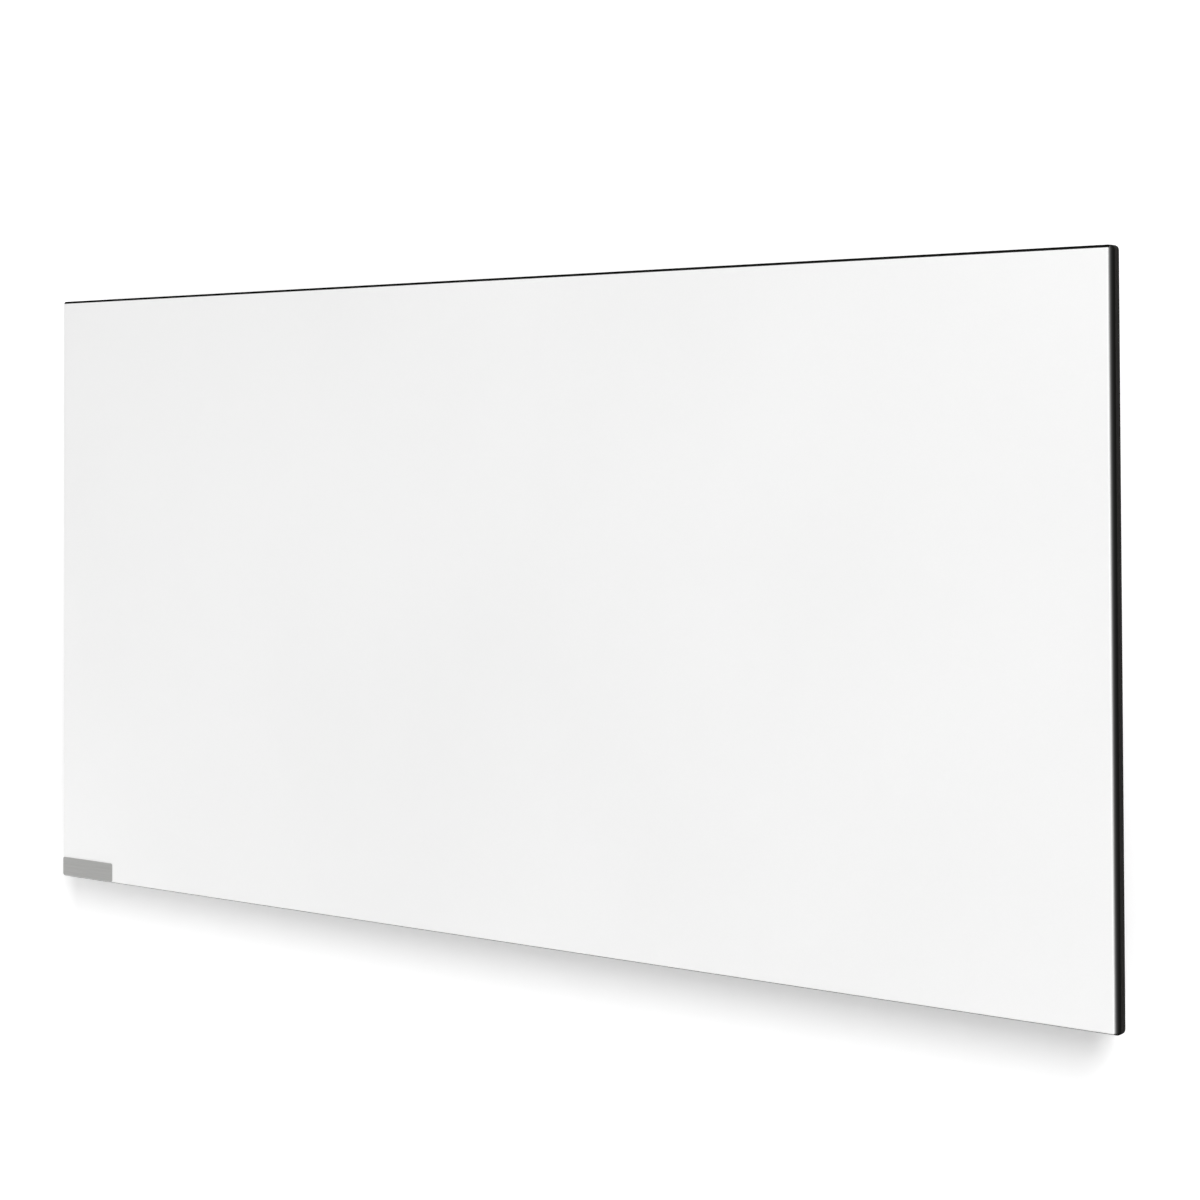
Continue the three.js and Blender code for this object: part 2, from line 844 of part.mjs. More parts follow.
function earthLeadGeometry() {
  const x = blockX + poleShifts[2];
  const seat = panelDepth + leadRadius + fitGap;
  const end = earthZ - tagRadius - tagTongueLength - fitGap;
  const halfway = (blockTop + end) / 2;
  return wire(
    [
      [x, poleAxis, poleEntry],
      [x, poleAxis, blockTop],
      [x, poleAxis, halfway],
      [earthX, seat, halfway],
      [earthX, seat, end],
    ],
    leadRadius,
  );
}

// Terminal block: a grooved body with a brass tube in each pole

const tubeScrewPlaces = [-tubeScrewShare * tubeLength, tubeScrewShare * tubeLength];

function upright(radius, length, x = 0) {
  const bar = new THREE.CylinderGeometry(radius, radius, length, smallSides);
  return bar.rotateX(Math.PI / 2).translate(x, 0, 0);
}

function terminalBlockGeometry() {
  const back = blockFront + blockDepth;
  const beyond = back + overrun;
  const body = plate(poleCount * polePitch, blockHeight, blockCornerRadius, blockFront, back);
  const bores = poleShifts.map((x) =>
    upright(tubeOuterRadius + fitGap, blockHeight + overrun, x).translate(0, poleAxis, 0),
  );
  const wellRadius = tubeScrewRadius + fitGap;
  const wells = poleShifts.flatMap((x) =>
    tubeScrewPlaces.map((z) => drum(wellRadius, wellRadius, poleAxis, beyond, x, z)),
  );
  const groove = blockGrooveRadius;
  const grooves = poleShifts.slice(1).flatMap((x) =>
    [-blockHeight / 2, blockHeight / 2].map((z) =>
      drum(groove, groove, back - blockGrooveDepth, beyond, x - polePitch / 2, z),
    ),
  );
  const screwX = polePitch / 2;
  const screwHole = drum(screwHoleRadius, screwHoleRadius, 0, beyond, screwX);
  const sinkRadius = screwHeadRadius + fitGap;
  const sinkFront = back - screwHeadHeight - fitGap;
  const sink = drum(sinkRadius, sinkRadius, sinkFront, beyond, screwX);
  return cut(solid(body), ...bores, ...wells, ...grooves, screwHole, sink);
}

function terminalTubeGeometry() {
  const screwTop = tubeOuterRadius + tubeScrewHeight;
  const screws = tubeScrewPlaces.map((z) =>
    drum(tubeScrewRadius, tubeScrewRadius, tubeBoreRadius, screwTop, 0, z),
  );
  const tube = joined([upright(tubeOuterRadius, tubeLength), ...screws]);
  return cut(tube, upright(tubeBoreRadius, tubeLength + overrun));
}

// Earth stud, its nut and the ring tag

function earthStudGeometry() {
  const headFront = trayFloor - fitGap - earthHeadHeight;
  const end = panelDepth + earthStudLength;
  return turned([
    [0, headFront],
    [earthHeadRadius, headFront],
    [earthHeadRadius, headFront + earthHeadHeight],
    [earthStudRadius, headFront + earthHeadHeight],
    [earthStudRadius, end - earthTipChamfer],
    [earthStudRadius - earthTipChamfer, end],
    [0, end],
  ]);
}

function earthNutGeometry() {
  const front = panelDepth + tagThickness + 2 * fitGap;
  const bore = earthStudRadius + fitGap;
  const back = front + earthNutHeight;
  const nut = solid(drum(earthNutRadius, earthNutRadius, front, back, 0, 0, hexSides));
  return cut(nut, drum(bore, bore, 0, back + overrun));
}

function earthTagGeometry() {
  const [front, back] = [panelDepth + fitGap, panelDepth + fitGap + tagThickness];
  const bore = earthStudRadius + fitGap;
  const tongueMiddle = -(tagRadius + tagTongueLength) / 2;
  const tag = joined([
    drum(tagRadius, tagRadius, front, back, 0, 0, roundSides),
    block(tagTongueWidth, tagRadius + tagTongueLength, front, back, 0, tongueMiddle),
  ]);
  return cut(tag, drum(bore, bore, 0, back + overrun));
}

// Terminal hood and its gasket

function hoodGeometry() {
  const cover = solid(
    shell({
      width: hoodWidth,
      height: hoodHeight,
      front: hoodBase,
      back: hoodBack,
      sheet: hoodWall,
      bend: hoodEdgeRadius,
      bendSteps: hoodEdgeSteps,
      corner: hoodCornerRadius,
      draft: hoodDraft,
    }).translate(hoodX, 0, hoodZ),
  );
  const ceiling = hoodBack - hoodWall / 2;
  const pillars = hoodScrewPlaces.map(([x, z]) =>
    drum(hoodPillarRadius, hoodPillarRadius, hoodBase, ceiling, x, z),
  );
  const beyond = hoodBack + overrun;
  const sinkRadius = screwHeadRadius + fitGap;
  const holes = hoodScrewPlaces.flatMap(([x, z]) => [
    drum(screwHoleRadius, screwHoleRadius, 0, beyond, x, z),
    drum(sinkRadius, sinkRadius, hoodBack - hoodScrewSink, beyond, x, z),
  ]);
  const glandHole = new THREE.CylinderGeometry(
    glandThreadRadius + fitGap,
    glandThreadRadius + fitGap,
    hoodWall + 2 * overrun,
    roundSides,
  ).rotateX(Math.PI / 2).translate(blockX, glandAxis, hoodFloor);
  return cut(cover.add(joined(pillars)), ...holes, glandHole);
}

function gasketGeometry() {
  const outer = [hoodWidth, hoodHeight];
  const inner = outer.map((size) => size - 2 * gasketWidth);
  const innerRadius = hoodCornerRadius - gasketWidth;
  const [front, back] = [panelDepth + sealGap, hoodBase - sealGap];
  return frame(outer, hoodCornerRadius, inner, innerRadius, front, back);
}

// Cable gland, built along Y with its mouth at the back and then turned to face down

function facingDown(geometry) {
  return geometry.rotateX(-Math.PI / 2);
}

function hexagon(front, back) {
  const bar = drum(glandHexRadius, glandHexRadius, front, back, 0, 0, hexSides);
  return bar.rotateY(Math.PI / hexSides);
}

function roundBar(radius, front, back) {
  return drum(radius, radius, front, back, 0, 0, roundSides);
}

function glandBodyGeometry() {
  const colletEnd = glandHexHeight + glandColletLength;
  const barrel = joined([
    hexagon(0, glandHexHeight),
    roundBar(glandThreadRadius, -glandThreadReach, 0),
    roundBar(glandColletRadius, 0, colletEnd),
  ]);
  const bore = roundBar(glandBoreRadius, -glandThreadReach - overrun, colletEnd + overrun);
  return facingDown(cut(barrel, bore));
}

function glandLocknutGeometry() {
  const nut = solid(hexagon(0, glandLockHeight));
  const bore = roundBar(glandThreadRadius + fitGap, -overrun, glandLockHeight + overrun);
  return facingDown(cut(nut, bore));
}

function glandNutGeometry() {
  const [end, radius] = [glandNutLength, glandNutRadius];
  const [lipRadius, domeStart] = [glandBoreRadius + glandMouthLip, end - glandNutDome];
  const dome = turned(
    [
      [0, 0],
      [radius, 0],
      [radius, domeStart],
      [(radius + lipRadius) / 2, end - glandNutCrown],
      [lipRadius, end],
      [0, end],
    ],
    roundSides,
  );
  const nut = solid(dome).intersect(solid(hexagon(-overrun, end + overrun)));
  const hollow = roundBar(radius - glandNutWall, -overrun, end - glandMouthLip);
  return facingDown(cut(nut, hollow, roundBar(glandBoreRadius, 0, end + overrun)));
}

function glandSealGeometry() {
  const ringBody = solid(roundBar(glandNutRadius - glandNutWall - fitGap, 0, glandSealLength));
  return facingDown(cut(ringBody, roundBar(glandBoreRadius, -overrun, glandSealLength + overrun)));
}

// Hanger: a hat-shaped bracket whose slot rests on the hook's tongue

function hangerGeometry() {
  const [foot, top] = [panelDepth + fitGap + hangerSheet / 2, webBack - hangerSheet / 2];
  const line = [
    [foot, webBottom - hangerLegSpread - hangerFlange],
    [foot, webBottom - hangerLegSpread],
    [top, webBottom],
    [top, webTop],
    [foot, webTop + hangerLegSpread],
    [foot, webTop + hangerLegSpread + hangerFlange],
  ];
  const hat = solid(foldedStrip(line, hangerSheet, hangerWidth));
  const slotMiddle = slotTop - slotHeight / 2;
  const slot = block(slotWidth, slotHeight, webFront - overrun, webBack + overrun, 0, slotMiddle);
  const holes = hangerScrewPlaces.map(([x, z]) =>
    drum(screwHoleRadius, screwHoleRadius, panelDepth - overrun, foot + hangerSheet, x, z),
  );
  return cut(hat, slot, ...holes);
}

// Wall hook: a plate with its tongue pushed out towards the panel and turned up

function hookGeometry() {
  const height = hookRise + hookDrop;
  const middle = shelfHeight + (hookRise - hookDrop) / 2;
  const back = solid(plate(hookWidth, height, hookCornerRadius, -hookSheet, 0, 0, middle));
  const [sheetCentre, shelf] = [-hookSheet / 2, shelfHeight - hookSheet / 2];
  const tip = -hookReach + hookSheet / 2;
  const line = [
    [sheetCentre, shelfHeight - hookDrop / 2],
    [sheetCentre, shelf],
    [tip, shelf],
    [tip, shelfHeight + tongueTip],
  ];
  const windowFoot = shelfHeight - hookSheet - bendInsideRadius;
  const windowTop = shelfHeight + hookReach + tongueTip;
  const window = block(
    tongueWidth + 2 * tonguePlay,
    windowTop - windowFoot,
    -hookSheet - overrun,
    overrun,
    0,
    (windowTop + windowFoot) / 2,
  );
  const slot = plate(hookSlotLength, 2 * hookSlotRadius, hookSlotRadius, -overrun, overrun);
  const slots = [hookRise - hookSlotInset, hookSlotInset - hookDrop].map((rise) =>
    slot.clone().translate(0, 0, shelfHeight + rise),
  );
  const body = back.subtract(joined([window, ...slots]));
  return geometryOf(body.add(solid(foldedStrip(line, hookSheet, tongueWidth))));
}

function bumperGeometry() {
  const [front, back] = [panelDepth + fitGap, panelDepth + wallGap];
  const floor = front + bumperFloor;
  return turned(
    [
      [screwHoleRadius, front],
      [bumperBaseRadius, front],
      [bumperBaseRadius, front + bumperFillet],
      [bumperTipRadius, back - bumperFillet],
      [bumperTipRadius - bumperFillet, back],
      [bumperBoreRadius, back],
      [bumperBoreRadius, floor],
      [screwHoleRadius, floor],
      [screwHoleRadius, front],
    ],
    roundSides,
  );
}

// A pan-head screw whose head sits at zero and whose shank points to the front
function screwGeometry(reach) {
  return turned([
    [0, -reach],
    [screwRadius, -reach],
    [screwRadius, 0],
    [screwHeadRadius, 0],
    [screwHeadRadius, screwHeadHeight / 2],
    [screwCrownRadius, screwHeadHeight],
    [0, screwHeadHeight],
  ]);
}

// Finishes

const finishes = {
  ceramic: { color: 0xf4f4f2, roughness: 0.42, metalness: 0 },
  brushedPlate: { color: 0xb9b9b5, roughness: 0.38, metalness: 0.9 },
  blackCoat: { color: 0x1c1b19, roughness: 0.55, metalness: 0.1 },
  blackSilicone: { color: 0x171716, roughness: 0.7, metalness: 0 },
  redSilicone: { color: 0x8e2a20, roughness: 0.6, metalness: 0 },
  whiteSilicone: { color: 0xd9d6cc, roughness: 0.7, metalness: 0 },
  tape: { color: 0xe6e1d4, roughness: 0.8, metalness: 0 },
  aluminium: { color: 0xc9cbcd, roughness: 0.32, metalness: 1 },
  strip: { color: 0xc8b98f, roughness: 0.75, metalness: 0 },
  blackPlastic: { color: 0x1e1e1f, roughness: 0.5, metalness: 0 },
  whitePlastic: { color: 0xe4e1d8, roughness: 0.5, metalness: 0 },
  brass: { color: 0xc4a45a, roughness: 0.35, metalness: 1 },
  zinc: { color: 0xbfc2c4, roughness: 0.4, metalness: 1 },
  rubber: { color: 0x202020, roughness: 0.85, metalness: 0 },
  brownLead: { color: 0x5a3322, roughness: 0.6, metalness: 0 },
  blueLead: { color: 0x2c5c93, roughness: 0.6, metalness: 0 },
  greenLead: { color: 0x6f9a2e, roughness: 0.6, metalness: 0 },
};

function put(group, name, geometry, finish, x = 0, y = 0, z = 0) {
  const mesh = new THREE.Mesh(geometry, new THREE.MeshStandardMaterial(finishes[finish]));
  mesh.name = name;
  mesh.position.set(x, y, z);
  group.add(mesh);
}

// The heater hangs from the hooks; inside its group, Y is the depth behind the tile's face.

const heater = new THREE.Group();
heater.position.y = -(panelDepth + wallGap);

put(heater, "ceramic_tile", tileGeometry(), "ceramic");
const badgeX = -tileWidth / 2 + tileArris + badgeWidth / 2;
const badgeZ = -tileHeight / 2 + tileArris + badgeHeight / 2;
put(heater, "badge_plate", badgeGeometry(), "brushedPlate", badgeX, 0, badgeZ);
put(heater, "badge_tape", badgeTapeGeometry(), "tape", badgeX, 0, badgeZ);
put(heater, "edge_seal", sealGeometry(), "blackSilicone");
put(heater, "rear_tray", trayGeometry(), "blackCoat");
put(heater, "reflector_sheet", reflectorGeometry(), "aluminium");
put(heater, "heating_cable", cableGeometry(), "redSilicone");

const strip = stripGeometry();
stripShares.forEach((share, i) => {
  put(heater, `cable_strip_${i + 1}`, strip, "strip", (share * tileWidth) / 2);
});

const pad = drum(padRadius, padRadius, cableSeat, cableSeat + padThickness);
cupPlaces.forEach(([x, z], i) => {
  put(heater, `bond_pad_${i + 1}`, pad, "whiteSilicone", x, 0, z);
});

const sleeve = sleeveGeometry();
const sleeveReach = sleeveLength / 2 + fitGap;
const startSleeveZ = startTailZ + sleeveReach;
const returnSleeveZ = returnTailZ - sleeveReach;
put(heater, "splice_sleeve_start", sleeve, "blackSilicone", startLane, sleeveCentre, startSleeveZ);
put(heater, "splice_sleeve_return", sleeve, "blackSilicone", returnLane, sleeveCentre, returnSleeveZ);
put(heater, "thermal_limiter", limiterGeometry(), "blackPlastic", limiterX, 0, limiterZ);
put(heater, "limiter_clip", clipGeometry(), "aluminium", limiterX, 0, limiterZ);
put(heater, "limiter_lead", limiterLeadGeometry(), "brownLead");
put(heater, "supply_lead", supplyLeadGeometry(), "brownLead");
put(heater, "return_lead", returnLeadGeometry(), "blueLead");
put(heater, "earth_lead", earthLeadGeometry(), "greenLead");

put(heater, "terminal_block", terminalBlockGeometry(), "whitePlastic", blockX, 0, blockZ);
const tube = terminalTubeGeometry();
poleShifts.forEach((shift, i) => {
  put(heater, `terminal_tube_${i + 1}`, tube, "brass", blockX + shift, poleAxis, blockZ);
});
const blockScrewSeat = blockFront + blockDepth - screwHeadHeight;
const blockScrew = screwGeometry(blockScrewSeat - panelDepth + screwReach);
put(heater, "terminal_block_screw", blockScrew, "zinc", blockX + polePitch / 2, blockScrewSeat, blockZ);
put(heater, "earth_stud", earthStudGeometry(), "zinc", earthX, 0, earthZ);
put(heater, "earth_tag", earthTagGeometry(), "zinc", earthX, 0, earthZ);
put(heater, "earth_nut", earthNutGeometry(), "brass", earthX, 0, earthZ);

put(heater, "terminal_hood", hoodGeometry(), "blackPlastic");
put(heater, "hood_gasket", gasketGeometry(), "rubber", hoodX, 0, hoodZ);
const hoodScrewSeat = hoodBack - hoodScrewSink + fitGap;
const hoodScrew = screwGeometry(hoodScrewSeat - panelDepth + screwReach);
hoodScrewPlaces.forEach(([x, z], i) => {
  put(heater, `hood_screw_${i + 1}`, hoodScrew, "zinc", x, hoodScrewSeat, z);
});

const glandTop = hoodFloor - fitGap;
const locknutTop = hoodFloor + hoodDraft + hoodWall + fitGap + glandLockHeight;
const nutTop = glandTop - glandHexHeight - fitGap;
const sealTop = glandTop - glandHexHeight - glandColletLength - fitGap;
const gland = new THREE.Group();
gland.position.set(blockX, glandAxis, 0);
heater.add(gland);
put(gland, "gland_body", glandBodyGeometry(), "blackPlastic", 0, 0, glandTop);
put(gland, "gland_locknut", glandLocknutGeometry(), "blackPlastic", 0, 0, locknutTop);
put(gland, "gland_nut", glandNutGeometry(), "blackPlastic", 0, 0, nutTop);
put(gland, "gland_seal", glandSealGeometry(), "rubber", 0, 0, sealTop);

const hanger = hangerGeometry();
const hangerScrewSeat = panelDepth + hangerSheet + 2 * fitGap;
const hangerScrew = screwGeometry(hangerScrewSeat - panelDepth + screwReach);
hangerPlaces.forEach((x, i) => {
  const side = i === 0 ? "left" : "right";
  put(heater, `hanger_${side}`, hanger, "zinc", x);
  hangerScrewPlaces.forEach(([dx, z], j) => {
    put(heater, `hanger_screw_${side}_${j + 1}`, hangerScrew, "zinc", x + dx, hangerScrewSeat, z);
  });
});

const bumper = bumperGeometry();
const bumperScrewSeat = panelDepth + bumperFloor + 2 * fitGap;
const bumperScrew = screwGeometry(bumperScrewSeat - panelDepth + screwReach);
bumperPlaces.forEach(([x, z], i) => {
  const side = i === 0 ? "left" : "right";
  put(heater, `bumper_${side}`, bumper, "rubber", x, 0, z);
  put(heater, `bumper_screw_${side}`, bumperScrew, "zinc", x, bumperScrewSeat, z);
});

// The hooks are fixed to the wall and stay there when the heater is lifted off.

const wallHooks = new THREE.Group();
const hook = hookGeometry();
hangerPlaces.forEach((x, i) => {
  put(wallHooks, `wall_hook_${i === 0 ? "left" : "right"}`, hook, "zinc", x);
});

const model = new THREE.Group();
model.add(heater, wallHooks);

export default model;
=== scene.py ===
"""Ceramic panel heater on a wall: its finishes, its fine pieces, the studio and the camera."""

import json
import math

import bmesh
import bpy
from mathutils import Matrix, Vector

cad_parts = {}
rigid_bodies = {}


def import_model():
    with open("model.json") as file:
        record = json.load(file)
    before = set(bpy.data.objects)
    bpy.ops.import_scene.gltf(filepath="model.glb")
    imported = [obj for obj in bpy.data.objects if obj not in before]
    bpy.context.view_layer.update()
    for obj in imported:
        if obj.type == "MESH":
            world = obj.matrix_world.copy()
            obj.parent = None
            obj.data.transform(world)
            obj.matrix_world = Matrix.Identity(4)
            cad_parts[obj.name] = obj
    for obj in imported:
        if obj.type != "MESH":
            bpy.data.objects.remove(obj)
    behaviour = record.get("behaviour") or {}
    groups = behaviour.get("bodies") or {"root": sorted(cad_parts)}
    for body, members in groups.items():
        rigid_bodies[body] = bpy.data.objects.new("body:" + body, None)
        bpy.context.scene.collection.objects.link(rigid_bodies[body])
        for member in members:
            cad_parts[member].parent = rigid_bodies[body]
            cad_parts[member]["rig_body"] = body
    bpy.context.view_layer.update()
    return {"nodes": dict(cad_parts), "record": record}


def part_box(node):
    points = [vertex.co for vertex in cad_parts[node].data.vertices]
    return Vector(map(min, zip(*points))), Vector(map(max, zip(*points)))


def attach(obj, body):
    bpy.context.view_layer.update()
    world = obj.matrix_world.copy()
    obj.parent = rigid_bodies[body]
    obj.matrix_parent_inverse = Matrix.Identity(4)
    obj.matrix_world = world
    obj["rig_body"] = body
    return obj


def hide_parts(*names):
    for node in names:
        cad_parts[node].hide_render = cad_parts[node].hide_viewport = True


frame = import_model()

bl_info = {
    "name": "Ceramic Panel Heater",
    "version": (1, 0, 0),
    "blender": (4, 5, 0),
    "location": "View3D > Sidebar > Heater",
    "description": "Finishes a ceramic panel heater and sets it up in a plain studio",
    "category": "Object",
}

NODES = frame["nodes"]
SLOTS = {row["slot"]: row for row in frame["record"]["materials"]}
MILLIMETRE = 0.001
MERGE_DISTANCE = 1e-6
FLAT_ANGLE = math.radians(0.5)
SHARP_ANGLE = math.radians(32)
TRAY_SHARP_ANGLE = math.radians(41)
EASED_ANGLE = math.radians(40)

# Depths in millimetres at which the seal's taper is cut, so that it can be filled out
BEAD_CUTS = (0.12, 0.35, 0.8, 2.0, 4.0)

# The power that lets the bead rise at once behind its front
BEAD_FULLNESS = 18

# A pan head's outline from its seat to its middle, in shares of its radius and height
PAN_HEAD = (
    (0.92, 0.0),
    (1.0, 0.1),
    (1.0, 0.48),
    (0.95, 0.6),
    (0.87, 0.76),
    (0.76, 0.9),
    (0.62, 0.975),
    (0.45, 1.0),
    (0.0, 1.0),
)


def slot_colour(slot):
    return tuple(SLOTS[slot]["base_color"][:3])


def colour_of(name, description, default):
    return bpy.props.FloatVectorProperty(
        name=name, description=description, default=default, min=0, max=1, size=3, subtype="COLOR"
    )


def number_of(name, description, default, **kind):
    return bpy.props.FloatProperty(name=name, description=description, default=default, **kind)


def length_of(name, description, default):
    return number_of(name, description, default, min=0, subtype="DISTANCE", unit="LENGTH")


def power_of(name, description, default):
    return number_of(name, description, default, min=0, unit="POWER")


def angle_of(name, description, default):
    return number_of(name, description, default, subtype="ANGLE")


# What a user can change


class HeaterFinishes(bpy.types.PropertyGroup):
    """The colours of the heater's surfaces."""

    glaze: colour_of("Glaze", "Satin matt face of the tile", (0.922, 0.922, 0.92))
    body: colour_of("Tile body", "Fired clay at the tile's sides and back", (0.62, 0.57, 0.49))
    plate: colour_of("Plate", "Brushed metal of the bare plate", slot_colour("brushed_plate"))
    coat: colour_of("Powder coat", "Textured coat of the tray", slot_colour("black_coat"))
    seal: colour_of("Seal", "Silicone round the tile", slot_colour("black_silicone"))
    zinc: colour_of("Zinc", "Plated brackets, hooks and screws", slot_colour("zinc_steel"))
    brass: colour_of("Brass", "Clamp tubes and the earth nut", slot_colour("brass"))
    aluminium: colour_of("Aluminium", "Reflector and limiter clip", slot_colour("aluminium"))
    plastic: colour_of("Black plastic", "Hood and gland", slot_colour("black_plastic"))
    terminal: colour_of("White plastic", "Terminal block", slot_colour("white_plastic"))
    strip: colour_of("Strip", "Notched strips behind the tile", slot_colour("strip_plastic"))
    pad: colour_of("Bond pad", "White silicone pads", slot_colour("white_silicone"))
    tape: colour_of("Tape", "Foam tape under the plate", slot_colour("tape"))
    rubber: colour_of("Rubber", "Bumpers and gasket", slot_colour("rubber"))
    jacket: colour_of("Cable jacket", "Silicone jacket of the cable", slot_colour("cable_jacket"))
    live: colour_of("Live lead", "Brown insulation", slot_colour("brown_lead"))
    neutral: colour_of("Neutral lead", "Blue insulation", slot_colour("blue_lead"))
    earth: colour_of("Earth lead", "Green insulation", slot_colour("green_lead"))
    earth_stripe: colour_of("Earth stripe", "Yellow stripe on the earth lead", (0.72, 0.55, 0.03))


class HeaterSizes(bpy.types.PropertyGroup):
    """The sizes of the fine forms that the scene adds."""

    bead_height: length_of("Bead height", "Rise of the seal along the top", 1.9 * MILLIMETRE)
    tile_arris: length_of("Tile arris", "Ground edge round the face", 0.25 * MILLIMETRE)
    plate_round: length_of("Plate round", "Round on the bare plate's edge", 0.12 * MILLIMETRE)
    edge_round: length_of("Edge round", "Round on the edges of sheet and plate", 0.25 * MILLIMETRE)
    head_radius: length_of("Head radius", "Radius of a screw's head", 3.6 * MILLIMETRE)
    head_height: length_of("Head height", "Height of a screw's head", 2.4 * MILLIMETRE)
    shank_radius: length_of("Shank radius", "Radius of a screw's shank", 1.9 * MILLIMETRE)
    thread_pitch: length_of("Thread pitch", "Distance between a screw's crests", 1.1 * MILLIMETRE)
    recess_length: length_of("Recess length", "Length of the cross in a head", 4.2 * MILLIMETRE)
    recess_width: length_of("Recess width", "Width of the cross in a head", 0.9 * MILLIMETRE)
    recess_depth: length_of("Recess depth", "Depth of the cross in a head", 1.7 * MILLIMETRE)
    bumper_tip: length_of("Bumper tip", "Radius of a bumper at the wall", 9.5 * MILLIMETRE)
    bumper_bore: length_of("Bumper bore", "Radius of the bore in a bumper", 5 * MILLIMETRE)
    bumper_floor: length_of("Bumper floor", "Rubber under the screw's head", 4 * MILLIMETRE)
    bumper_hole: length_of("Bumper hole", "Radius of the hole for the screw", 2.2 * MILLIMETRE)
    bumper_round: length_of("Bumper round", "Round on a bumper's rims", 1.5 * MILLIMETRE)


class HeaterStudio(bpy.types.PropertyGroup):
    """The room, the lamps and the camera."""

    wall_paper: colour_of("Wall paper", "Colour of the wall", (0.95, 0.95, 0.95))
    floor_paper: colour_of("Floor paper", "Colour of the floor", (0.8, 0.8, 0.8))
    floor_drop: length_of("Floor drop", "Height of the heater's middle over the floor", 1.2)
    wall_glow: number_of("Wall glow", "Light that the wall gives to the camera", 0.42, min=0)
    floor_glow: number_of("Floor glow", "Light that the floor gives to the camera", 0.3, min=0)
    sky: number_of("Sky", "Strength of the even light from all round", 0.14, min=0)
    key_power: power_of("Key lamp", "Power of the lamp in front", 838)
    fill_power: power_of("Fill lamp", "Power of the lamp low on the left", 3.3)
    back_power: power_of("Back lamp", "Power of the lamp behind the wall", 12)
    focal_length: number_of("Focal length", "Lens of the camera", 0.07632, unit="LENGTH")
    camera_turn: angle_of("Turn", "Turn of the camera to the left", 0.65666)
    camera_roll: angle_of("Roll", "Roll of the camera", 0.00423)
    camera_tilt: angle_of("Tilt", "Tilt of the camera upwards", 0.02004)


# Nodes: a socket that takes Python's operators, and a finish that holds the nodes


class Socket:
    """An output of a node. An operator on it adds a Math node."""

    def __init__(self, finish, output):
        self.finish = finish
        self.output = output

    def maths(self, operation, first, second):
        return self.finish.node("ShaderNodeMath", {"operation": operation}, {0: first, 1: second})

    def __add__(self, other):
        return self.maths("ADD", self, other)

    def __sub__(self, other):
        return self.maths("SUBTRACT", self, other)

    def __mul__(self, other):
        return self.maths("MULTIPLY", self, other)

    def __truediv__(self, other):
        return self.maths("DIVIDE", self, other)

    def __gt__(self, other):
        return self.maths("GREATER_THAN", self, other)

    def __rsub__(self, other):
        return self.maths("SUBTRACT", other, self)

    def __rpow__(self, other):
        return self.maths("POWER", other, self)

    __radd__ = __add__
    __rmul__ = __mul__


class Finish:
    """The nodes of a material or of the world. A material's pattern lies on Object coordinates."""

    def __init__(self, name, kind="materials"):
        self.holder = getattr(bpy.data, kind).new(name)
        self.holder.use_nodes = True
        self.tree = self.holder.node_tree
        self.tree.nodes.clear()

    def node(self, kind, settings, inputs, output=0):
        """Adds a node with its settings, then its values and links, and gives one output."""
        made = self.tree.nodes.new(kind)
        for name, value in settings.items():
            setattr(made, name, value)
        for key, value in inputs.items():
            if isinstance(value, Socket):
                self.tree.links.new(value.output, made.inputs[key])
            else:
                made.inputs[key].default_value = value
        return Socket(self, made.outputs[output])

    def place(self, stretch):
        """Object coordinates, multiplied where a pattern is to lie along an axis."""
        coordinates = self.node("ShaderNodeTexCoord", {}, {}, "Object")
        return self.node("ShaderNodeMapping", {}, {"Vector": coordinates, "Scale": stretch})

    def axis(self, name):
        coordinates = self.node("ShaderNodeTexCoord", {}, {}, "Object")
        return self.node("ShaderNodeSeparateXYZ", {}, {"Vector": coordinates}, name)

    def noise(self, scale, detail, stretch=(1, 1, 1)):
        inputs = {"Vector": self.place(stretch), "Scale": scale, "Detail": detail}
        return self.node("ShaderNodeTexNoise", {}, inputs)

    def cells(self, scale, stretch=(1, 1, 1)):
        return self.node("ShaderNodeTexVoronoi", {}, {"Vector": self.place(stretch), "Scale": scale})

    def ramp(self, value, low, high, bottom=0.0, top=1.0):
        inputs = {"Value": value, "From Min": low, "From Max": high, "To Min": bottom, "To Max": top}
        return self.node("ShaderNodeMapRange", {"interpolation_type": "SMOOTHSTEP"}, inputs)

    def mix(self, mask, first, second):
        inputs = {0: mask, 6: colour(first), 7: colour(second)}
        return self.node("ShaderNodeMix", {"data_type": "RGBA"}, inputs, 2)

    def bump(self, height, distance, strength=1.0, below=None):
        inputs = {"Height": height, "Distance": distance, "Strength": strength}
        if below is not None:
            inputs["Normal"] = below
        return self.node("ShaderNodeBump", {}, inputs)

    def surface(self, **values):
        """Puts the values into the shader, under its own names with underscores for spaces."""
        inputs = {name.replace("_", " "): value for name, value in values.items()}
        return self.shown(self.node("ShaderNodeBsdfPrincipled", {}, inputs))

    def seen(self):
        """One on rays that come from the camera, or by way of gloss or glass, and else nought."""
        rays = ("Is Camera Ray", "Is Glossy Ray", "Is Transmission Ray")
        camera, glossy, through = (self.node("ShaderNodeLightPath", {}, {}, ray) for ray in rays)
        return camera + glossy + through

    def shown(self, shader, output="ShaderNodeOutputMaterial"):
        """Leads a shader to the output, and gives the material or the world."""
        surface = self.tree.nodes.new(output).inputs["Surface"]
        self.tree.links.new(shader.output, surface)
        return self.holder


def colour(value):
    return value if isinstance(value, Socket) else (*value, 1.0)


def shade(value, factor):
    return tuple(min(part * factor, 1.0) for part in value)


# Finishes


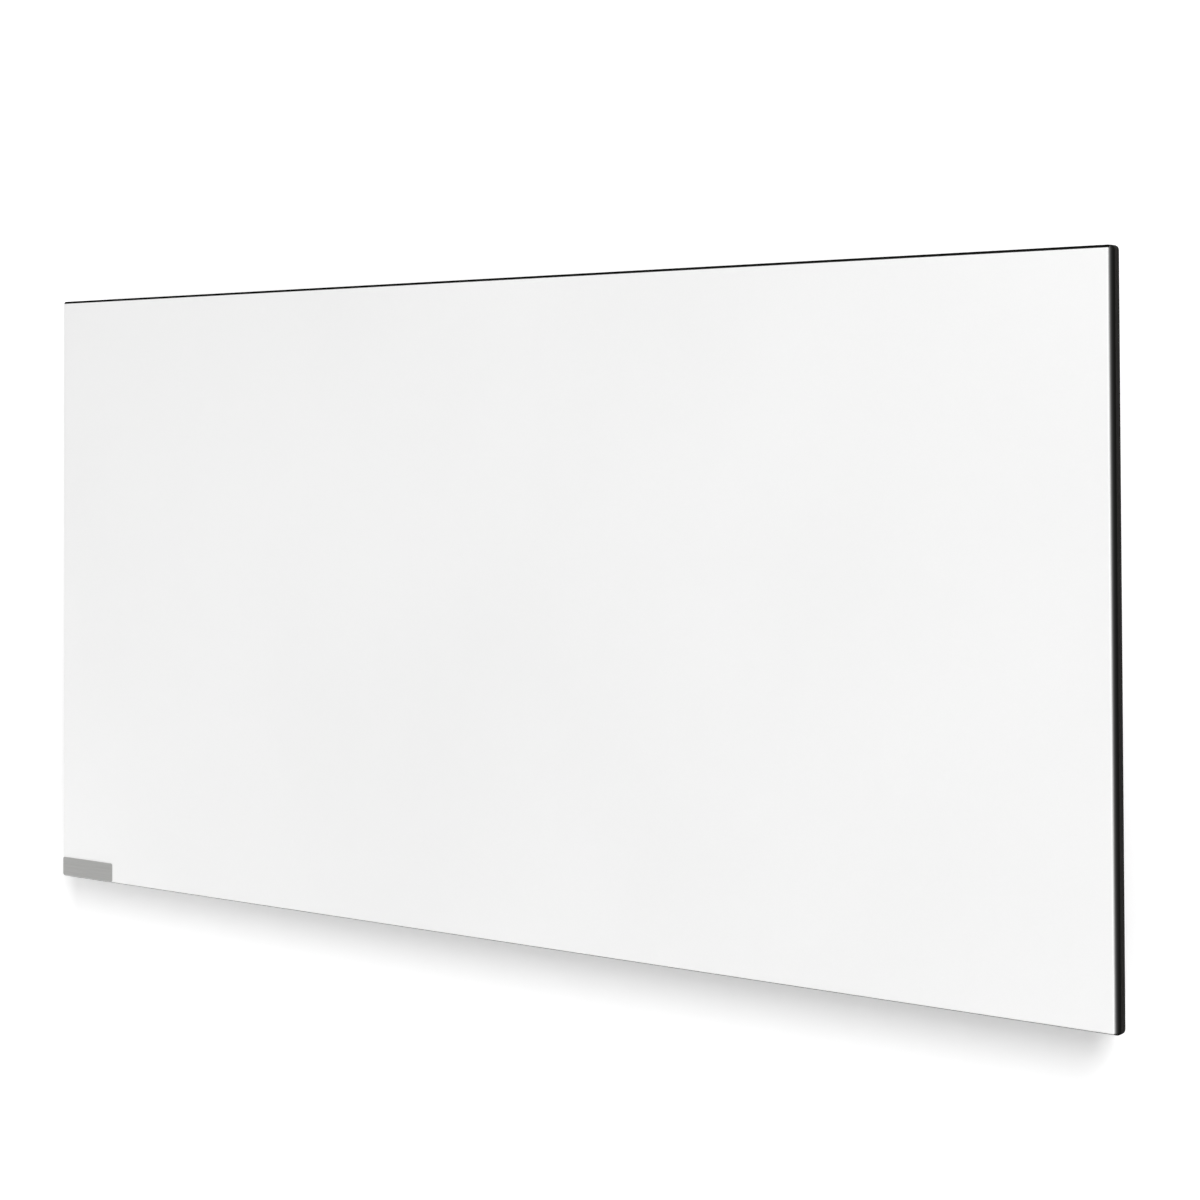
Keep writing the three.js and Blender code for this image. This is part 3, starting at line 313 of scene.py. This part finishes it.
def glazed_tile(finishes):
    """Satin matt glaze over a fired body, with a faint cloud, a fine grain, an orange peel and
    painted shade on the arrises at the left and right sides.
    """
    finish = Finish("glazed_tile")
    low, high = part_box("ceramic_tile")
    glaze_end, clay_start = 2.5 * MILLIMETRE, 3.5 * MILLIMETRE
    arris_depth, side_band = 0.15 * MILLIMETRE, 0.5 * MILLIMETRE
    smear_width, smear_end = 0.5 * MILLIMETRE, 0.7 * MILLIMETRE
    peel_depth, grain_depth = 0.03 * MILLIMETRE, 0.015 * MILLIMETRE
    dark_glaze, dark_clay = shade(finishes.glaze, 0.965), shade(finishes.body, 0.85)
    # The first of these dims the glaze to 0.62 for the arrises at the left and right sides: painted
    # shade.
    painted_shade_glaze, thin_seal = shade(finishes.glaze, 0.62), shade(finishes.seal, 0.6)
    cloud = finish.noise(scale=2.2, detail=2.0)
    grain = finish.noise(scale=1400.0, detail=3.0)
    tone = finish.ramp(cloud * 0.7 + grain * 0.3, 0.35, 0.65)
    depth = finish.axis("Y") - low.y
    bare = finish.ramp(depth, glaze_end, clay_start)
    ground = finish.ramp(depth, 0.0, arris_depth)
    across = finish.axis("X")
    beside = (across * across) > (high.x - side_band) ** 2
    smear = finish.ramp(high.z - finish.axis("Z"), smear_width, smear_end, bottom=1.0, top=0.0)
    clay = finish.mix(finish.noise(scale=600.0, detail=4.0), dark_clay, finishes.body)
    # At the left and right sides the ground arris takes the dimmed glaze. This is partly the ground
    # edge's matt look, but mostly painted shade that takes out the key light's highlight there.
    glaze = finish.mix(ground * beside, finish.mix(tone, finishes.glaze, dark_glaze), painted_shade_glaze)
    peel = finish.bump(finish.noise(scale=260.0, detail=2.0), peel_depth)
    return finish.surface(
        Base_Color=finish.mix(smear, finish.mix(bare, glaze, clay), thin_seal),
        Roughness=0.4 + grain * 0.08 + ground * 0.5,
        Normal=finish.bump(grain, grain_depth, below=peel),
    )


def seal_with_painted_shade(finishes):
    """Black silicone up the tile's sides, with a colour ramp from dimmed white at the face's edge to
    black a few millimetres back: painted shade in place of a rounded white edge turning into shadow.
    """
    finish = Finish("black_silicone")
    low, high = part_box("ceramic_tile")
    side_band, grain_depth = 0.05 * MILLIMETRE, 0.03 * MILLIMETRE
    # Painted shade: the white at the sides starts at 0.8 of the glaze and keeps 0.39 of itself for
    # each millimetre back from the face.
    painted_edge_dimming, painted_fade_per_millimetre = 0.8, 0.39
    across = finish.axis("X")
    beside = (across * across) > (high.x - side_band) ** 2
    # Share of painted white at the sides, falling with depth from the face.
    painted_shade_ramp = painted_fade_per_millimetre ** ((finish.axis("Y") - low.y) / MILLIMETRE) * painted_edge_dimming
    spark = finish.noise(scale=900.0, detail=4.0)
    return finish.surface(
        Base_Color=finish.mix(painted_shade_ramp * beside, shade(finishes.seal, 0.6), finishes.glaze),
        Roughness=0.84 + spark * 0.12,
        Normal=finish.bump(spark, grain_depth),
        Specular_IOR_Level=0.0,
    )


def brushed_plate(finishes):
    """Metal brushed along its length, a little darker where it has been handled."""
    finish = Finish("brushed_plate")
    lines = finish.noise(scale=1.0, detail=4.0, stretch=(25, 1, 5200))
    bands = finish.noise(scale=1.0, detail=2.0, stretch=(9, 1, 700))
    handled = finish.noise(scale=30.0, detail=3.0)
    stroke = finish.ramp(lines, 0.3, 0.7)
    dark, light = shade(finishes.plate, 0.7), shade(finishes.plate, 0.98)
    return finish.surface(
        Base_Color=finish.mix(stroke * 0.6 + bands * 0.4, dark, light),
        Metallic=0.85,
        Roughness=0.34 + stroke * 0.1 + handled * 0.08,
        Normal=finish.bump(lines, 0.012 * MILLIMETRE),
        Anisotropic=0.4,
    )


def powder_coat(finishes):
    """Fine textured powder coat: rounded grains of about half a millimetre."""
    finish = Finish("powder_coat")
    grains = finish.ramp(finish.cells(scale=1500.0), 0.0, 0.7)
    rolling = finish.noise(scale=420.0, detail=3.0)
    dust = finish.ramp(finish.noise(scale=14.0, detail=4.0), 0.45, 0.75)
    dark, light = shade(finishes.coat, 0.6), shade(finishes.coat, 1.3)
    crust = finish.bump(rolling, 0.09 * MILLIMETRE)
    return finish.surface(
        Base_Color=finish.mix(dust * 0.35, dark, light),
        Roughness=0.56 + grains * 0.12 + dust * 0.06,
        Normal=finish.bump(grains, 0.07 * MILLIMETRE, strength=0.8, below=crust),
        Specular_IOR_Level=0.04,
    )


def moulded(name, tone, roughness, grain=900.0, depth=0.03 * MILLIMETRE):
    """Moulded plastic or rubber with a spark-eroded grain and a faint flow pattern."""
    finish = Finish(name)
    spark = finish.noise(scale=grain, detail=4.0)
    flow = finish.noise(scale=35.0, detail=2.0)
    return finish.surface(
        Base_Color=finish.mix(flow, shade(tone, 0.86), shade(tone, 1.14)),
        Roughness=roughness - 0.06 + spark * 0.12,
        Normal=finish.bump(spark, depth),
    )


def zinc_plate(finishes):
    """Zinc plating: the sheet's rolling lines under a cloudy, faintly blue haze."""
    finish = Finish("zinc_plate")
    lines = finish.noise(scale=1.0, detail=3.0, stretch=(2400, 2400, 140))
    haze = finish.noise(scale=70.0, detail=4.0)
    fine = finish.noise(scale=1800.0, detail=3.0)
    tone = finish.ramp(haze * 0.65 + lines * 0.35, 0.3, 0.7)
    red, green, blue = finishes.zinc
    cool = (0.68 * red, 0.71 * green, 0.75 * blue)
    rolled = finish.bump(lines, 0.012 * MILLIMETRE)
    return finish.surface(
        Base_Color=finish.mix(tone, cool, shade(finishes.zinc, 0.92)),
        Metallic=0.95,
        Roughness=0.28 + haze * 0.16 + fine * 0.06,
        Normal=finish.bump(fine, 0.008 * MILLIMETRE, below=rolled),
    )


def turned_brass(finishes):
    """Turned brass with fine tool marks and a touch of tarnish."""
    finish = Finish("turned_brass")
    marks = finish.noise(scale=1.0, detail=3.0, stretch=(400, 400, 5200))
    tarnish = finish.ramp(finish.noise(scale=260.0, detail=3.0), 0.4, 0.7)
    return finish.surface(
        Base_Color=finish.mix(tarnish, finishes.brass, shade(finishes.brass, 0.7)),
        Metallic=1.0,
        Roughness=0.24 + marks * 0.1 + tarnish * 0.1,
        Normal=finish.bump(marks, 0.01 * MILLIMETRE),
    )


def rolled_aluminium(finishes):
    """Rolled aluminium sheet with long rolling lines and soft waves."""
    finish = Finish("rolled_aluminium")
    lines = finish.noise(scale=1.0, detail=3.0, stretch=(6, 300, 1800))
    waves = finish.noise(scale=18.0, detail=2.0)
    rolled = finish.bump(lines, 0.01 * MILLIMETRE)
    return finish.surface(
        Base_Color=finish.mix(lines, shade(finishes.aluminium, 0.9), finishes.aluminium),
        Metallic=1.0,
        Roughness=0.22 + lines * 0.12,
        Normal=finish.bump(waves, 0.3 * MILLIMETRE, strength=0.4, below=rolled),
    )


def foam_tape(finishes):
    """Open foam of the tape, seen at its cut edge, with painted shade in its pores."""
    finish = Finish("foam_tape")
    pores = finish.cells(scale=2600.0)
    # The middles of the cells are drawn at 0.6 of the tape's colour: painted shade in the pores'
    # hollows.
    painted_pore_shade = finish.ramp(pores, 0.1, 0.5)
    return finish.surface(
        Base_Color=finish.mix(painted_pore_shade, shade(finishes.tape, 0.6), finishes.tape),
        Roughness=0.8 + pores * 0.1,
        Normal=finish.bump(pores, 0.05 * MILLIMETRE),
    )


def woven_strip(finishes):
    """Punched glass-mica strip with flakes that lie along it."""
    finish = Finish("woven_strip")
    flakes = finish.cells(scale=1.0, stretch=(500, 500, 160))
    fine = finish.noise(scale=1500.0, detail=3.0)
    tone = finish.ramp(flakes * 0.7 + fine * 0.3, 0.2, 0.7)
    return finish.surface(
        Base_Color=finish.mix(tone, shade(finishes.strip, 0.7), shade(finishes.strip, 1.1)),
        Roughness=0.62 + fine * 0.15,
        Normal=finish.bump(flakes, 0.05 * MILLIMETRE),
    )


def striped_lead(finishes):
    """Green insulation with a yellow stripe that winds round it."""
    finish = Finish("striped_lead")
    stripes_per_metre = 130.0
    slant = finish.axis("X") + finish.axis("Y") + finish.axis("Z")
    turns = {0: slant * stripes_per_metre}
    stripe = finish.ramp(finish.node("ShaderNodeMath", {"operation": "FRACT"}, turns), 0.56, 0.62)
    fine = finish.noise(scale=1200.0, detail=2.0)
    return finish.surface(
        Base_Color=finish.mix(stripe, finishes.earth, finishes.earth_stripe),
        Roughness=0.42 + fine * 0.1,
        Normal=finish.bump(fine, 0.02 * MILLIMETRE),
    )


# Shapes


def sharpen(bm, angle=SHARP_ANGLE):
    """Smooth faces, with a hard line wherever the surface folds by more than the angle."""
    for face in bm.faces:
        face.smooth = True
    for edge in bm.edges:
        edge.smooth = edge.calc_face_angle(0.0) < angle


def placed(bm, name, *materials):
    """The bmesh becomes an object in the scene."""
    mesh = bpy.data.meshes.new(name)
    bm.to_mesh(mesh)
    bm.free()
    for material in materials:
        mesh.materials.append(material)
    made = bpy.data.objects.new(name, mesh)
    bpy.context.scene.collection.objects.link(made)
    return made


def stand_in(bm, node, name, material):
    """The bmesh becomes a piece that stands for a CAD node and rides where it does."""
    piece = placed(bm, name, material)
    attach(piece, NODES[node]["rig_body"])
    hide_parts(node)
    return piece


def even_normals(piece):
    """Large flat faces keep their own shade beside narrow rounded ones."""
    weighted = piece.modifiers.new("even_normals", "WEIGHTED_NORMAL")
    weighted.keep_sharp = True
    weighted.weight = 100
    return piece


def eased_edges(piece, width):
    """Edges where flat faces meet get a narrow round."""
    bevel = piece.modifiers.new("eased_edges", "BEVEL")
    bevel.width = width
    bevel.segments = 2
    bevel.limit_method = "ANGLE"
    bevel.angle_limit = EASED_ANGLE


def merged_node(node):
    """A CAD node's loose triangles, joined."""
    bm = bmesh.new()
    bm.from_mesh(NODES[node].data)
    bmesh.ops.remove_doubles(bm, verts=bm.verts, dist=MERGE_DISTANCE)
    return bm


def fine_copy(node, name, material, edge_width=0.0, angle=SHARP_ANGLE):
    """A merged copy of a CAD node whose round stretches shade smoothly."""
    bm = merged_node(node)
    if edge_width:
        bmesh.ops.dissolve_limit(bm, angle_limit=FLAT_ANGLE, verts=bm.verts, edges=bm.edges)
    sharpen(bm, angle)
    piece = stand_in(bm, node, name, material)
    if edge_width:
        eased_edges(piece, edge_width)
    return even_normals(piece)


def full_bead(node, name, material, rise):
    """The seal's taper, filled out along the top edge, where the bead lies flush."""
    low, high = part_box(node)
    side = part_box("ceramic_tile")[1].z
    bm = merged_node(node)
    for depth in BEAD_CUTS:
        bmesh.ops.bisect_plane(
            bm,
            geom=bm.verts[:] + bm.edges[:] + bm.faces[:],
            dist=MERGE_DISTANCE,
            plane_co=(0, low.y + depth * MILLIMETRE, 0),
            plane_no=(0, 1, 0),
        )
    bm.normal_update()
    rim = max(v.co.y for v in bm.verts if v.co.z > high.z - MERGE_DISTANCE)
    for vert in bm.verts:
        along = (vert.co.y - low.y) / (rim - low.y)
        outward = vert.normal.z
        if 0 < along < 1 and outward > 0 and vert.co.z > side:
            straight = vert.co.z - side
            added = (rise - straight) * (1 - (1 - along) ** BEAD_FULLNESS)
            vert.co.z = side + straight + added * outward**2
    sharpen(bm)
    return even_normals(stand_in(bm, node, name, material))


def spun(profile, steps=48):
    """A turned shape round the Y axis from points of radius and depth."""
    bm = bmesh.new()
    verts = [bm.verts.new((radius, depth, 0)) for radius, depth in profile]
    edges = [bm.edges.new(pair) for pair in zip(verts, verts[1:])]
    bmesh.ops.spin(
        bm,
        geom=verts + edges,
        cent=(0, 0, 0),
        axis=(0, 1, 0),
        dvec=(0, 0, 0),
        angle=2 * math.pi,
        steps=steps,
        use_merge=True,
        use_duplicate=False,
    )
    bmesh.ops.remove_doubles(bm, verts=bm.verts, dist=MERGE_DISTANCE)
    bmesh.ops.recalc_face_normals(bm, faces=bm.faces)
    return bm


def rings(bm, *places):
    """The edges that run round the Y axis at the given radii and depths."""
    found, near = [], 10 * MERGE_DISTANCE
    for radius, depth in places:
        for edge in bm.edges:
            offsets = [(math.hypot(v.co.x, v.co.z) - radius, v.co.y - depth) for v in edge.verts]
            if all(math.hypot(*offset) < near for offset in offsets):
                found.append(edge)
    return found


def rounded(bm, edges, width):
    """The edges become rounds of the given radius."""
    bmesh.ops.bevel(
        bm,
        geom=edges,
        offset=width,
        offset_type="OFFSET",
        affect="EDGES",
        segments=4,
        profile=0.5,
        material=-1,
    )


def cross_punch(sizes):
    """The tool that presses a cross into a head whose top lies at the origin."""
    bm = bmesh.new()
    bmesh.ops.create_cube(bm, size=sizes.recess_width)
    deep = sizes.recess_depth / sizes.recess_width
    taper = 0.4
    bmesh.ops.scale(bm, vec=(1, 2 * deep, 1), verts=bm.verts)
    arms = [face for face in bm.faces if abs(face.normal.y) < 0.5]
    reach = (sizes.recess_length - sizes.recess_width) / 2
    for face in bmesh.ops.extrude_discrete_faces(bm, faces=arms)["faces"]:
        face.normal_update()
        bmesh.ops.translate(bm, vec=face.normal * reach, verts=face.verts)
    low = [v for v in bm.verts if v.co.y < 0]
    bmesh.ops.scale(bm, vec=(taper, 1, taper), verts=low)
    bmesh.ops.recalc_face_normals(bm, faces=bm.faces)
    return bm


def pressed(bm, punch):
    """The first shape with the second one taken out of it."""
    blank, tool = placed(bm, "blank"), placed(punch, "punch")
    press = blank.modifiers.new("press", "BOOLEAN")
    press.operation = "DIFFERENCE"
    press.solver = "EXACT"
    press.object = tool
    done = bmesh.new()
    done.from_object(blank, bpy.context.evaluated_depsgraph_get())
    for used in (blank, tool):
        mesh = used.data
        bpy.data.objects.remove(used)
        bpy.data.meshes.remove(mesh)
    bmesh.ops.remove_doubles(done, verts=done.verts, dist=2 * MERGE_DISTANCE)
    bmesh.ops.dissolve_degenerate(done, edges=done.edges, dist=2 * MERGE_DISTANCE)
    return done


def pan_screw(node, zinc, sizes):
    """A screw with a rolled thread and a pan head with a cross in it, on its CAD node's axis."""
    low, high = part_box(node)
    seat = high.y - sizes.head_height
    crest, pitch, reach = sizes.shank_radius, sizes.thread_pitch, seat - low.y
    root = 0.78 * crest
    point = 0.7 * root
    thread = [(0, -reach), (point, -reach), (root, pitch / 2 - reach)]
    for turn in range(int(reach / pitch) - 1):
        foot = (turn + 0.75) * pitch - reach
        thread += [(root, foot), (crest, foot + pitch / 3), (crest, foot + pitch / 2)]
    neck = [(root, -pitch / 4), (root, 0)]
    head = [(sizes.head_radius * out, sizes.head_height * up) for out, up in PAN_HEAD]
    bm = spun(thread + neck + head)
    punch = cross_punch(sizes)
    bmesh.ops.translate(punch, vec=(0, sizes.head_height, 0), verts=punch.verts)
    bm = pressed(bm, punch)
    place = ((low.x + high.x) / 2, seat, (low.z + high.z) / 2)
    bmesh.ops.translate(bm, vec=place, verts=bm.verts)
    sharpen(bm)
    return stand_in(bm, node, node.replace("screw", "pan_screw"), zinc)


def rubber_bumper(node, rubber, sizes):
    """A bored cone of rubber with rounded rims."""
    low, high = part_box(node)
    height, rim = high.y - low.y, sizes.bumper_round
    small_rim = 0.3 * rim
    base, waist = ((high.x - low.x) / 2, 0), ((high.x - low.x) / 2, rim)
    mouth, bore_top = (sizes.bumper_tip, height), (sizes.bumper_bore, height)
    bore_floor = (sizes.bumper_bore, sizes.bumper_floor)
    hole_top, hole_foot = (sizes.bumper_hole, sizes.bumper_floor), (sizes.bumper_hole, 0)
    outline = [hole_foot, base, waist, mouth, bore_top, bore_floor, hole_top, hole_foot]
    bm = spun(outline, steps=64)
    rounded(bm, rings(bm, mouth), rim)
    rounded(bm, rings(bm, base, bore_top, bore_floor), small_rim)
    place = ((low.x + high.x) / 2, low.y, (low.z + high.z) / 2)
    bmesh.ops.translate(bm, vec=place, verts=bm.verts)
    sharpen(bm)
    return even_normals(stand_in(bm, node, f"rubber_{node}", rubber))


def dress(material, *names):
    """Gives CAD nodes a material in place of their plain one."""
    for name in names:
        for slot in NODES[name].material_slots:
            slot.material = material


def named(part):
    """The names of the CAD nodes that hold the given words."""
    return [name for name in NODES if part in name]


# The heater's pieces, one operator for each group


class HEATER_OT_tile(bpy.types.Operator):
    """Glaze the ceramic tile"""

    bl_idname = "heater.tile"
    bl_label = "Ceramic tile"

    def execute(self, context):
        glaze = glazed_tile(context.scene.heater_finishes)
        width = context.scene.heater_sizes.tile_arris
        fine_copy("ceramic_tile", "glazed_panel", glaze, width)
        return {"FINISHED"}


class HEATER_OT_plate(bpy.types.Operator):
    """Brush the bare plate in the face's corner and finish its tape"""

    bl_idname = "heater.plate"
    bl_label = "Bare plate"

    def execute(self, context):
        finishes = context.scene.heater_finishes
        width = context.scene.heater_sizes.plate_round
        fine_copy("badge_plate", "bare_plate", brushed_plate(finishes), width)
        dress(foam_tape(finishes), "badge_tape")
        return {"FINISHED"}


class HEATER_OT_tray(bpy.types.Operator):
    """Coat the pressed tray and the seal round the tile"""

    bl_idname = "heater.tray"
    bl_label = "Rear tray"

    def execute(self, context):
        finishes = context.scene.heater_finishes
        coat = powder_coat(finishes)
        fine_copy("rear_tray", "pressed_tray", coat, angle=TRAY_SHARP_ANGLE)
        height = context.scene.heater_sizes.bead_height
        full_bead("edge_seal", "seal_bead", seal_with_painted_shade(finishes), height)
        return {"FINISHED"}


class HEATER_OT_heating(bpy.types.Operator):
    """Finish the cable and all that lies between the tile and the tray"""

    bl_idname = "heater.heating"
    bl_label = "Heating cable"

    def execute(self, context):
        finishes = context.scene.heater_finishes
        dress(moulded("cable_jacket", finishes.jacket, 0.45), "heating_cable")
        dress(woven_strip(finishes), *named("cable_strip"))
        dress(moulded("bond_silicone", finishes.pad, 0.6), *named("bond_pad"))
        dress(rolled_aluminium(finishes), "reflector_sheet", "limiter_clip")
        dress(moulded("sleeve_silicone", finishes.seal, 0.5), *named("splice_sleeve"))
        dress(moulded("limiter_case", finishes.plastic, 0.4), "thermal_limiter")
        return {"FINISHED"}


class HEATER_OT_terminals(bpy.types.Operator):
    """Finish the leads, the terminal block, the earth stud and the hood over them"""

    bl_idname = "heater.terminals"
    bl_label = "Terminals"

    def execute(self, context):
        finishes = context.scene.heater_finishes
        dress(moulded("live_lead", finishes.live, 0.42), "limiter_lead", "supply_lead")
        dress(moulded("neutral_lead", finishes.neutral, 0.42), "return_lead")
        dress(striped_lead(finishes), "earth_lead")
        dress(moulded("terminal_plastic", finishes.terminal, 0.45), "terminal_block")
        dress(turned_brass(finishes), "earth_nut", *named("terminal_tube"))
        dress(zinc_plate(finishes), "earth_stud", "earth_tag")
        plastic = moulded(
            "hood_plastic", finishes.plastic, 0.5, grain=700.0, depth=0.05 * MILLIMETRE
        )
        fine_copy("terminal_hood", "hood_shell", plastic)
        dress(moulded("gasket_rubber", finishes.rubber, 0.8), "hood_gasket")
        return {"FINISHED"}


class HEATER_OT_gland(bpy.types.Operator):
    """Finish the cable gland"""

    bl_idname = "heater.gland"
    bl_label = "Cable gland"

    def execute(self, context):
        finishes = context.scene.heater_finishes
        plastic = moulded("gland_plastic", finishes.plastic, 0.4)
        width = context.scene.heater_sizes.edge_round
        for part in ("body", "nut", "locknut"):
            fine_copy(f"gland_{part}", f"cord_gland_{part}", plastic, width)
        dress(moulded("gland_rubber", finishes.rubber, 0.7), "gland_seal")
        return {"FINISHED"}


class HEATER_OT_brackets(bpy.types.Operator):
    """Plate the hangers and the wall hooks, and ease their edges"""

    bl_idname = "heater.brackets"
    bl_label = "Hangers and hooks"

    def execute(self, context):
        zinc = zinc_plate(context.scene.heater_finishes)
        width = context.scene.heater_sizes.edge_round
        for side in ("left", "right"):
            fine_copy(f"hanger_{side}", f"hanger_plate_{side}", zinc, width)
            fine_copy(f"wall_hook_{side}", f"hook_plate_{side}", zinc, width)
        return {"FINISHED"}


class HEATER_OT_bumpers(bpy.types.Operator):
    """Mould the rubber bumpers"""

    bl_idname = "heater.bumpers"
    bl_label = "Bumpers"

    def execute(self, context):
        rubber = moulded("bumper_rubber", context.scene.heater_finishes.rubber, 0.75)
        for side in ("left", "right"):
            rubber_bumper(f"bumper_{side}", rubber, context.scene.heater_sizes)
        return {"FINISHED"}


class HEATER_OT_screws(bpy.types.Operator):
    """Turn the pan-head screws and press the cross into their heads"""

    bl_idname = "heater.screws"
    bl_label = "Screws"

    def execute(self, context):
        zinc = zinc_plate(context.scene.heater_finishes)
        for name in named("screw"):
            pan_screw(name, zinc, context.scene.heater_sizes)
        return {"FINISHED"}


# Studio


def paper(name, tone, glow, one_sided):
    """Plain paper that glows towards the camera. One-sided paper is clear from behind, and glows
    less below the heater's middle, to keep its shadow."""
    finish = Finish(name)
    glowing = colour((1, 1, 1))
    if one_sided:
        fade_height, low_glow = 0.25, (0.57, 0.57, 0.57)
        above = finish.ramp(finish.axis("Z"), -fade_height, fade_height)
        glowing = finish.mix(above, low_glow, (1, 1, 1))
    diffuse = finish.node("ShaderNodeBsdfDiffuse", {}, {"Color": colour(tone)})
    light = finish.node("ShaderNodeEmission", {}, {"Color": glowing, "Strength": glow})
    lit = finish.node("ShaderNodeAddShader", {}, {0: diffuse, 1: light})
    seen, unseen = finish.seen(), diffuse
    if one_sided:
        behind = finish.node("ShaderNodeNewGeometry", {}, {}, "Backfacing")
        seen = seen * (1 - behind)
        unseen = finish.node("ShaderNodeBsdfTransparent", {}, {})
    return finish.shown(finish.node("ShaderNodeMixShader", {}, {0: seen, 1: unseen, 2: lit}))


def sheet(name, width, height, place, turn, material):
    """A flat sheet of the studio, facing up before it is turned."""
    bm = bmesh.new()
    bmesh.ops.create_grid(bm, x_segments=1, y_segments=1, size=0.5)
    bmesh.ops.scale(bm, vec=(width, height, 1), verts=bm.verts)
    bmesh.ops.rotate(bm, cent=(0, 0, 0), matrix=Matrix.Rotation(turn, 3, "X"), verts=bm.verts)
    bmesh.ops.translate(bm, vec=place, verts=bm.verts)
    placed(bm, name, material)


def lamp(name, place, target, power, size):
    """A rectangular lamp that faces the target and isn't seen itself."""
    data = bpy.data.lights.new(name, "AREA")
    data.shape = "RECTANGLE"
    data.size, data.size_y = size
    data.energy = power
    made = bpy.data.objects.new(name, data)
    made.location = place
    made.visible_camera = False
    made.rotation_euler = (Vector(target) - Vector(place)).to_track_quat("-Z", "Y").to_euler()
    bpy.context.scene.collection.objects.link(made)
    return made


class HEATER_OT_studio(bpy.types.Operator):
    """Set up the wall, the floor, the light and the camera"""

    bl_idname = "heater.studio"
    bl_label = "Studio"

    wall_width = 7.0
    room_height = 3.6
    room_depth = 6.0
    floor_behind_wall = 1.0
    camera_place = (1.4698, -1.8080, 0.1525)
    sensor_width = 36
    shift_up = -0.1756
    middle = (0, 0, 0)
    key_place, key_size = (5.2, -5.0, 4.9), (3.4, 7.0)
    fill_place, fill_size = (-1.3, -0.9, -0.7), (0.5, 0.5)
    fill_target = (-0.6, 0, -0.3)
    back_place, back_size = (-0.4, 1.2, 1.6), (0.8, 0.6)
    back_spread = math.radians(80)

    def execute(self, context):
        studio = context.scene.heater_studio
        self.set_camera(context.scene, studio)
        self.set_paper(studio)
        self.set_light(context.scene, studio)
        context.scene.view_settings.view_transform = "Standard"
        return {"FINISHED"}

    def set_camera(self, scene, studio):
        data = bpy.data.cameras.new("camera")
        data.sensor_fit = "HORIZONTAL"
        data.sensor_width = self.sensor_width
        data.lens = studio.focal_length / MILLIMETRE
        data.shift_y = self.shift_up
        camera = bpy.data.objects.new("camera", data)
        turn = Matrix.Rotation(studio.camera_turn, 4, "Z")
        roll = Matrix.Rotation(studio.camera_roll, 4, "Y")
        upright = Matrix.Rotation(math.pi / 2 + studio.camera_tilt, 4, "X")
        camera.matrix_world = Matrix.Translation(self.camera_place) @ turn @ roll @ upright
        scene.collection.objects.link(camera)
        scene.camera = camera

    def set_paper(self, studio):
        wall_paper = paper("wall_paper", studio.wall_paper, studio.wall_glow, True)
        floor_paper = paper("floor_paper", studio.floor_paper, studio.floor_glow, False)
        down = -studio.floor_drop
        wall_middle = (0, MILLIMETRE, down + self.room_height / 2)
        floor_middle = (0, self.floor_behind_wall - self.room_depth / 2, down)
        upright = math.pi / 2
        sheet("wall", self.wall_width, self.room_height, wall_middle, upright, wall_paper)
        sheet("floor", self.wall_width, self.room_depth, floor_middle, 0, floor_paper)

    def set_light(self, scene, studio):
        sky = Finish("even_light", "worlds")
        strength = sky.ramp(sky.seen(), 0.0, 1.0, bottom=studio.sky, top=1.0)
        inputs = {"Color": colour((1, 1, 1)), "Strength": strength}
        background = sky.node("ShaderNodeBackground", {}, inputs)
        scene.world = sky.shown(background, "ShaderNodeOutputWorld")
        lamp("key_lamp", self.key_place, self.middle, studio.key_power, self.key_size)
        fill = lamp(
            "fill_lamp", self.fill_place, self.fill_target, studio.fill_power, self.fill_size
        )
        fill.visible_glossy = False
        back = lamp("back_lamp", self.back_place, self.middle, studio.back_power, self.back_size)
        back.data.spread = self.back_spread


STEPS = (
    HEATER_OT_studio,
    HEATER_OT_tile,
    HEATER_OT_plate,
    HEATER_OT_tray,
    HEATER_OT_heating,
    HEATER_OT_terminals,
    HEATER_OT_gland,
    HEATER_OT_brackets,
    HEATER_OT_bumpers,
    HEATER_OT_screws,
)


class HEATER_PT_panel(bpy.types.Panel):
    """The steps and settings of the heater"""

    bl_idname = "HEATER_PT_panel"
    bl_label = "Ceramic Panel Heater"
    bl_space_type = "VIEW_3D"
    bl_region_type = "UI"
    bl_category = "Heater"

    def draw(self, context):
        for step in STEPS:
            self.layout.operator(step.bl_idname)
        for group in ("heater_finishes", "heater_sizes", "heater_studio"):
            settings = getattr(context.scene, group)
            box = self.layout.box()
            for name in type(settings).__annotations__:
                box.prop(settings, name)


CLASSES = (HeaterFinishes, HeaterSizes, HeaterStudio, *STEPS, HEATER_PT_panel)


def register():
    for cls in CLASSES:
        bpy.utils.register_class(cls)
    bpy.types.Scene.heater_finishes = bpy.props.PointerProperty(type=HeaterFinishes)
    bpy.types.Scene.heater_sizes = bpy.props.PointerProperty(type=HeaterSizes)
    bpy.types.Scene.heater_studio = bpy.props.PointerProperty(type=HeaterStudio)


def unregister():
    del bpy.types.Scene.heater_studio
    del bpy.types.Scene.heater_sizes
    del bpy.types.Scene.heater_finishes
    for cls in reversed(CLASSES):
        bpy.utils.unregister_class(cls)


def main():
    register()
    bpy.ops.heater.studio()
    bpy.ops.heater.tile()
    bpy.ops.heater.plate()
    bpy.ops.heater.tray()
    bpy.ops.heater.heating()
    bpy.ops.heater.terminals()
    bpy.ops.heater.gland()
    bpy.ops.heater.brackets()
    bpy.ops.heater.bumpers()
    bpy.ops.heater.screws()


if __name__ == "__main__":
    main()
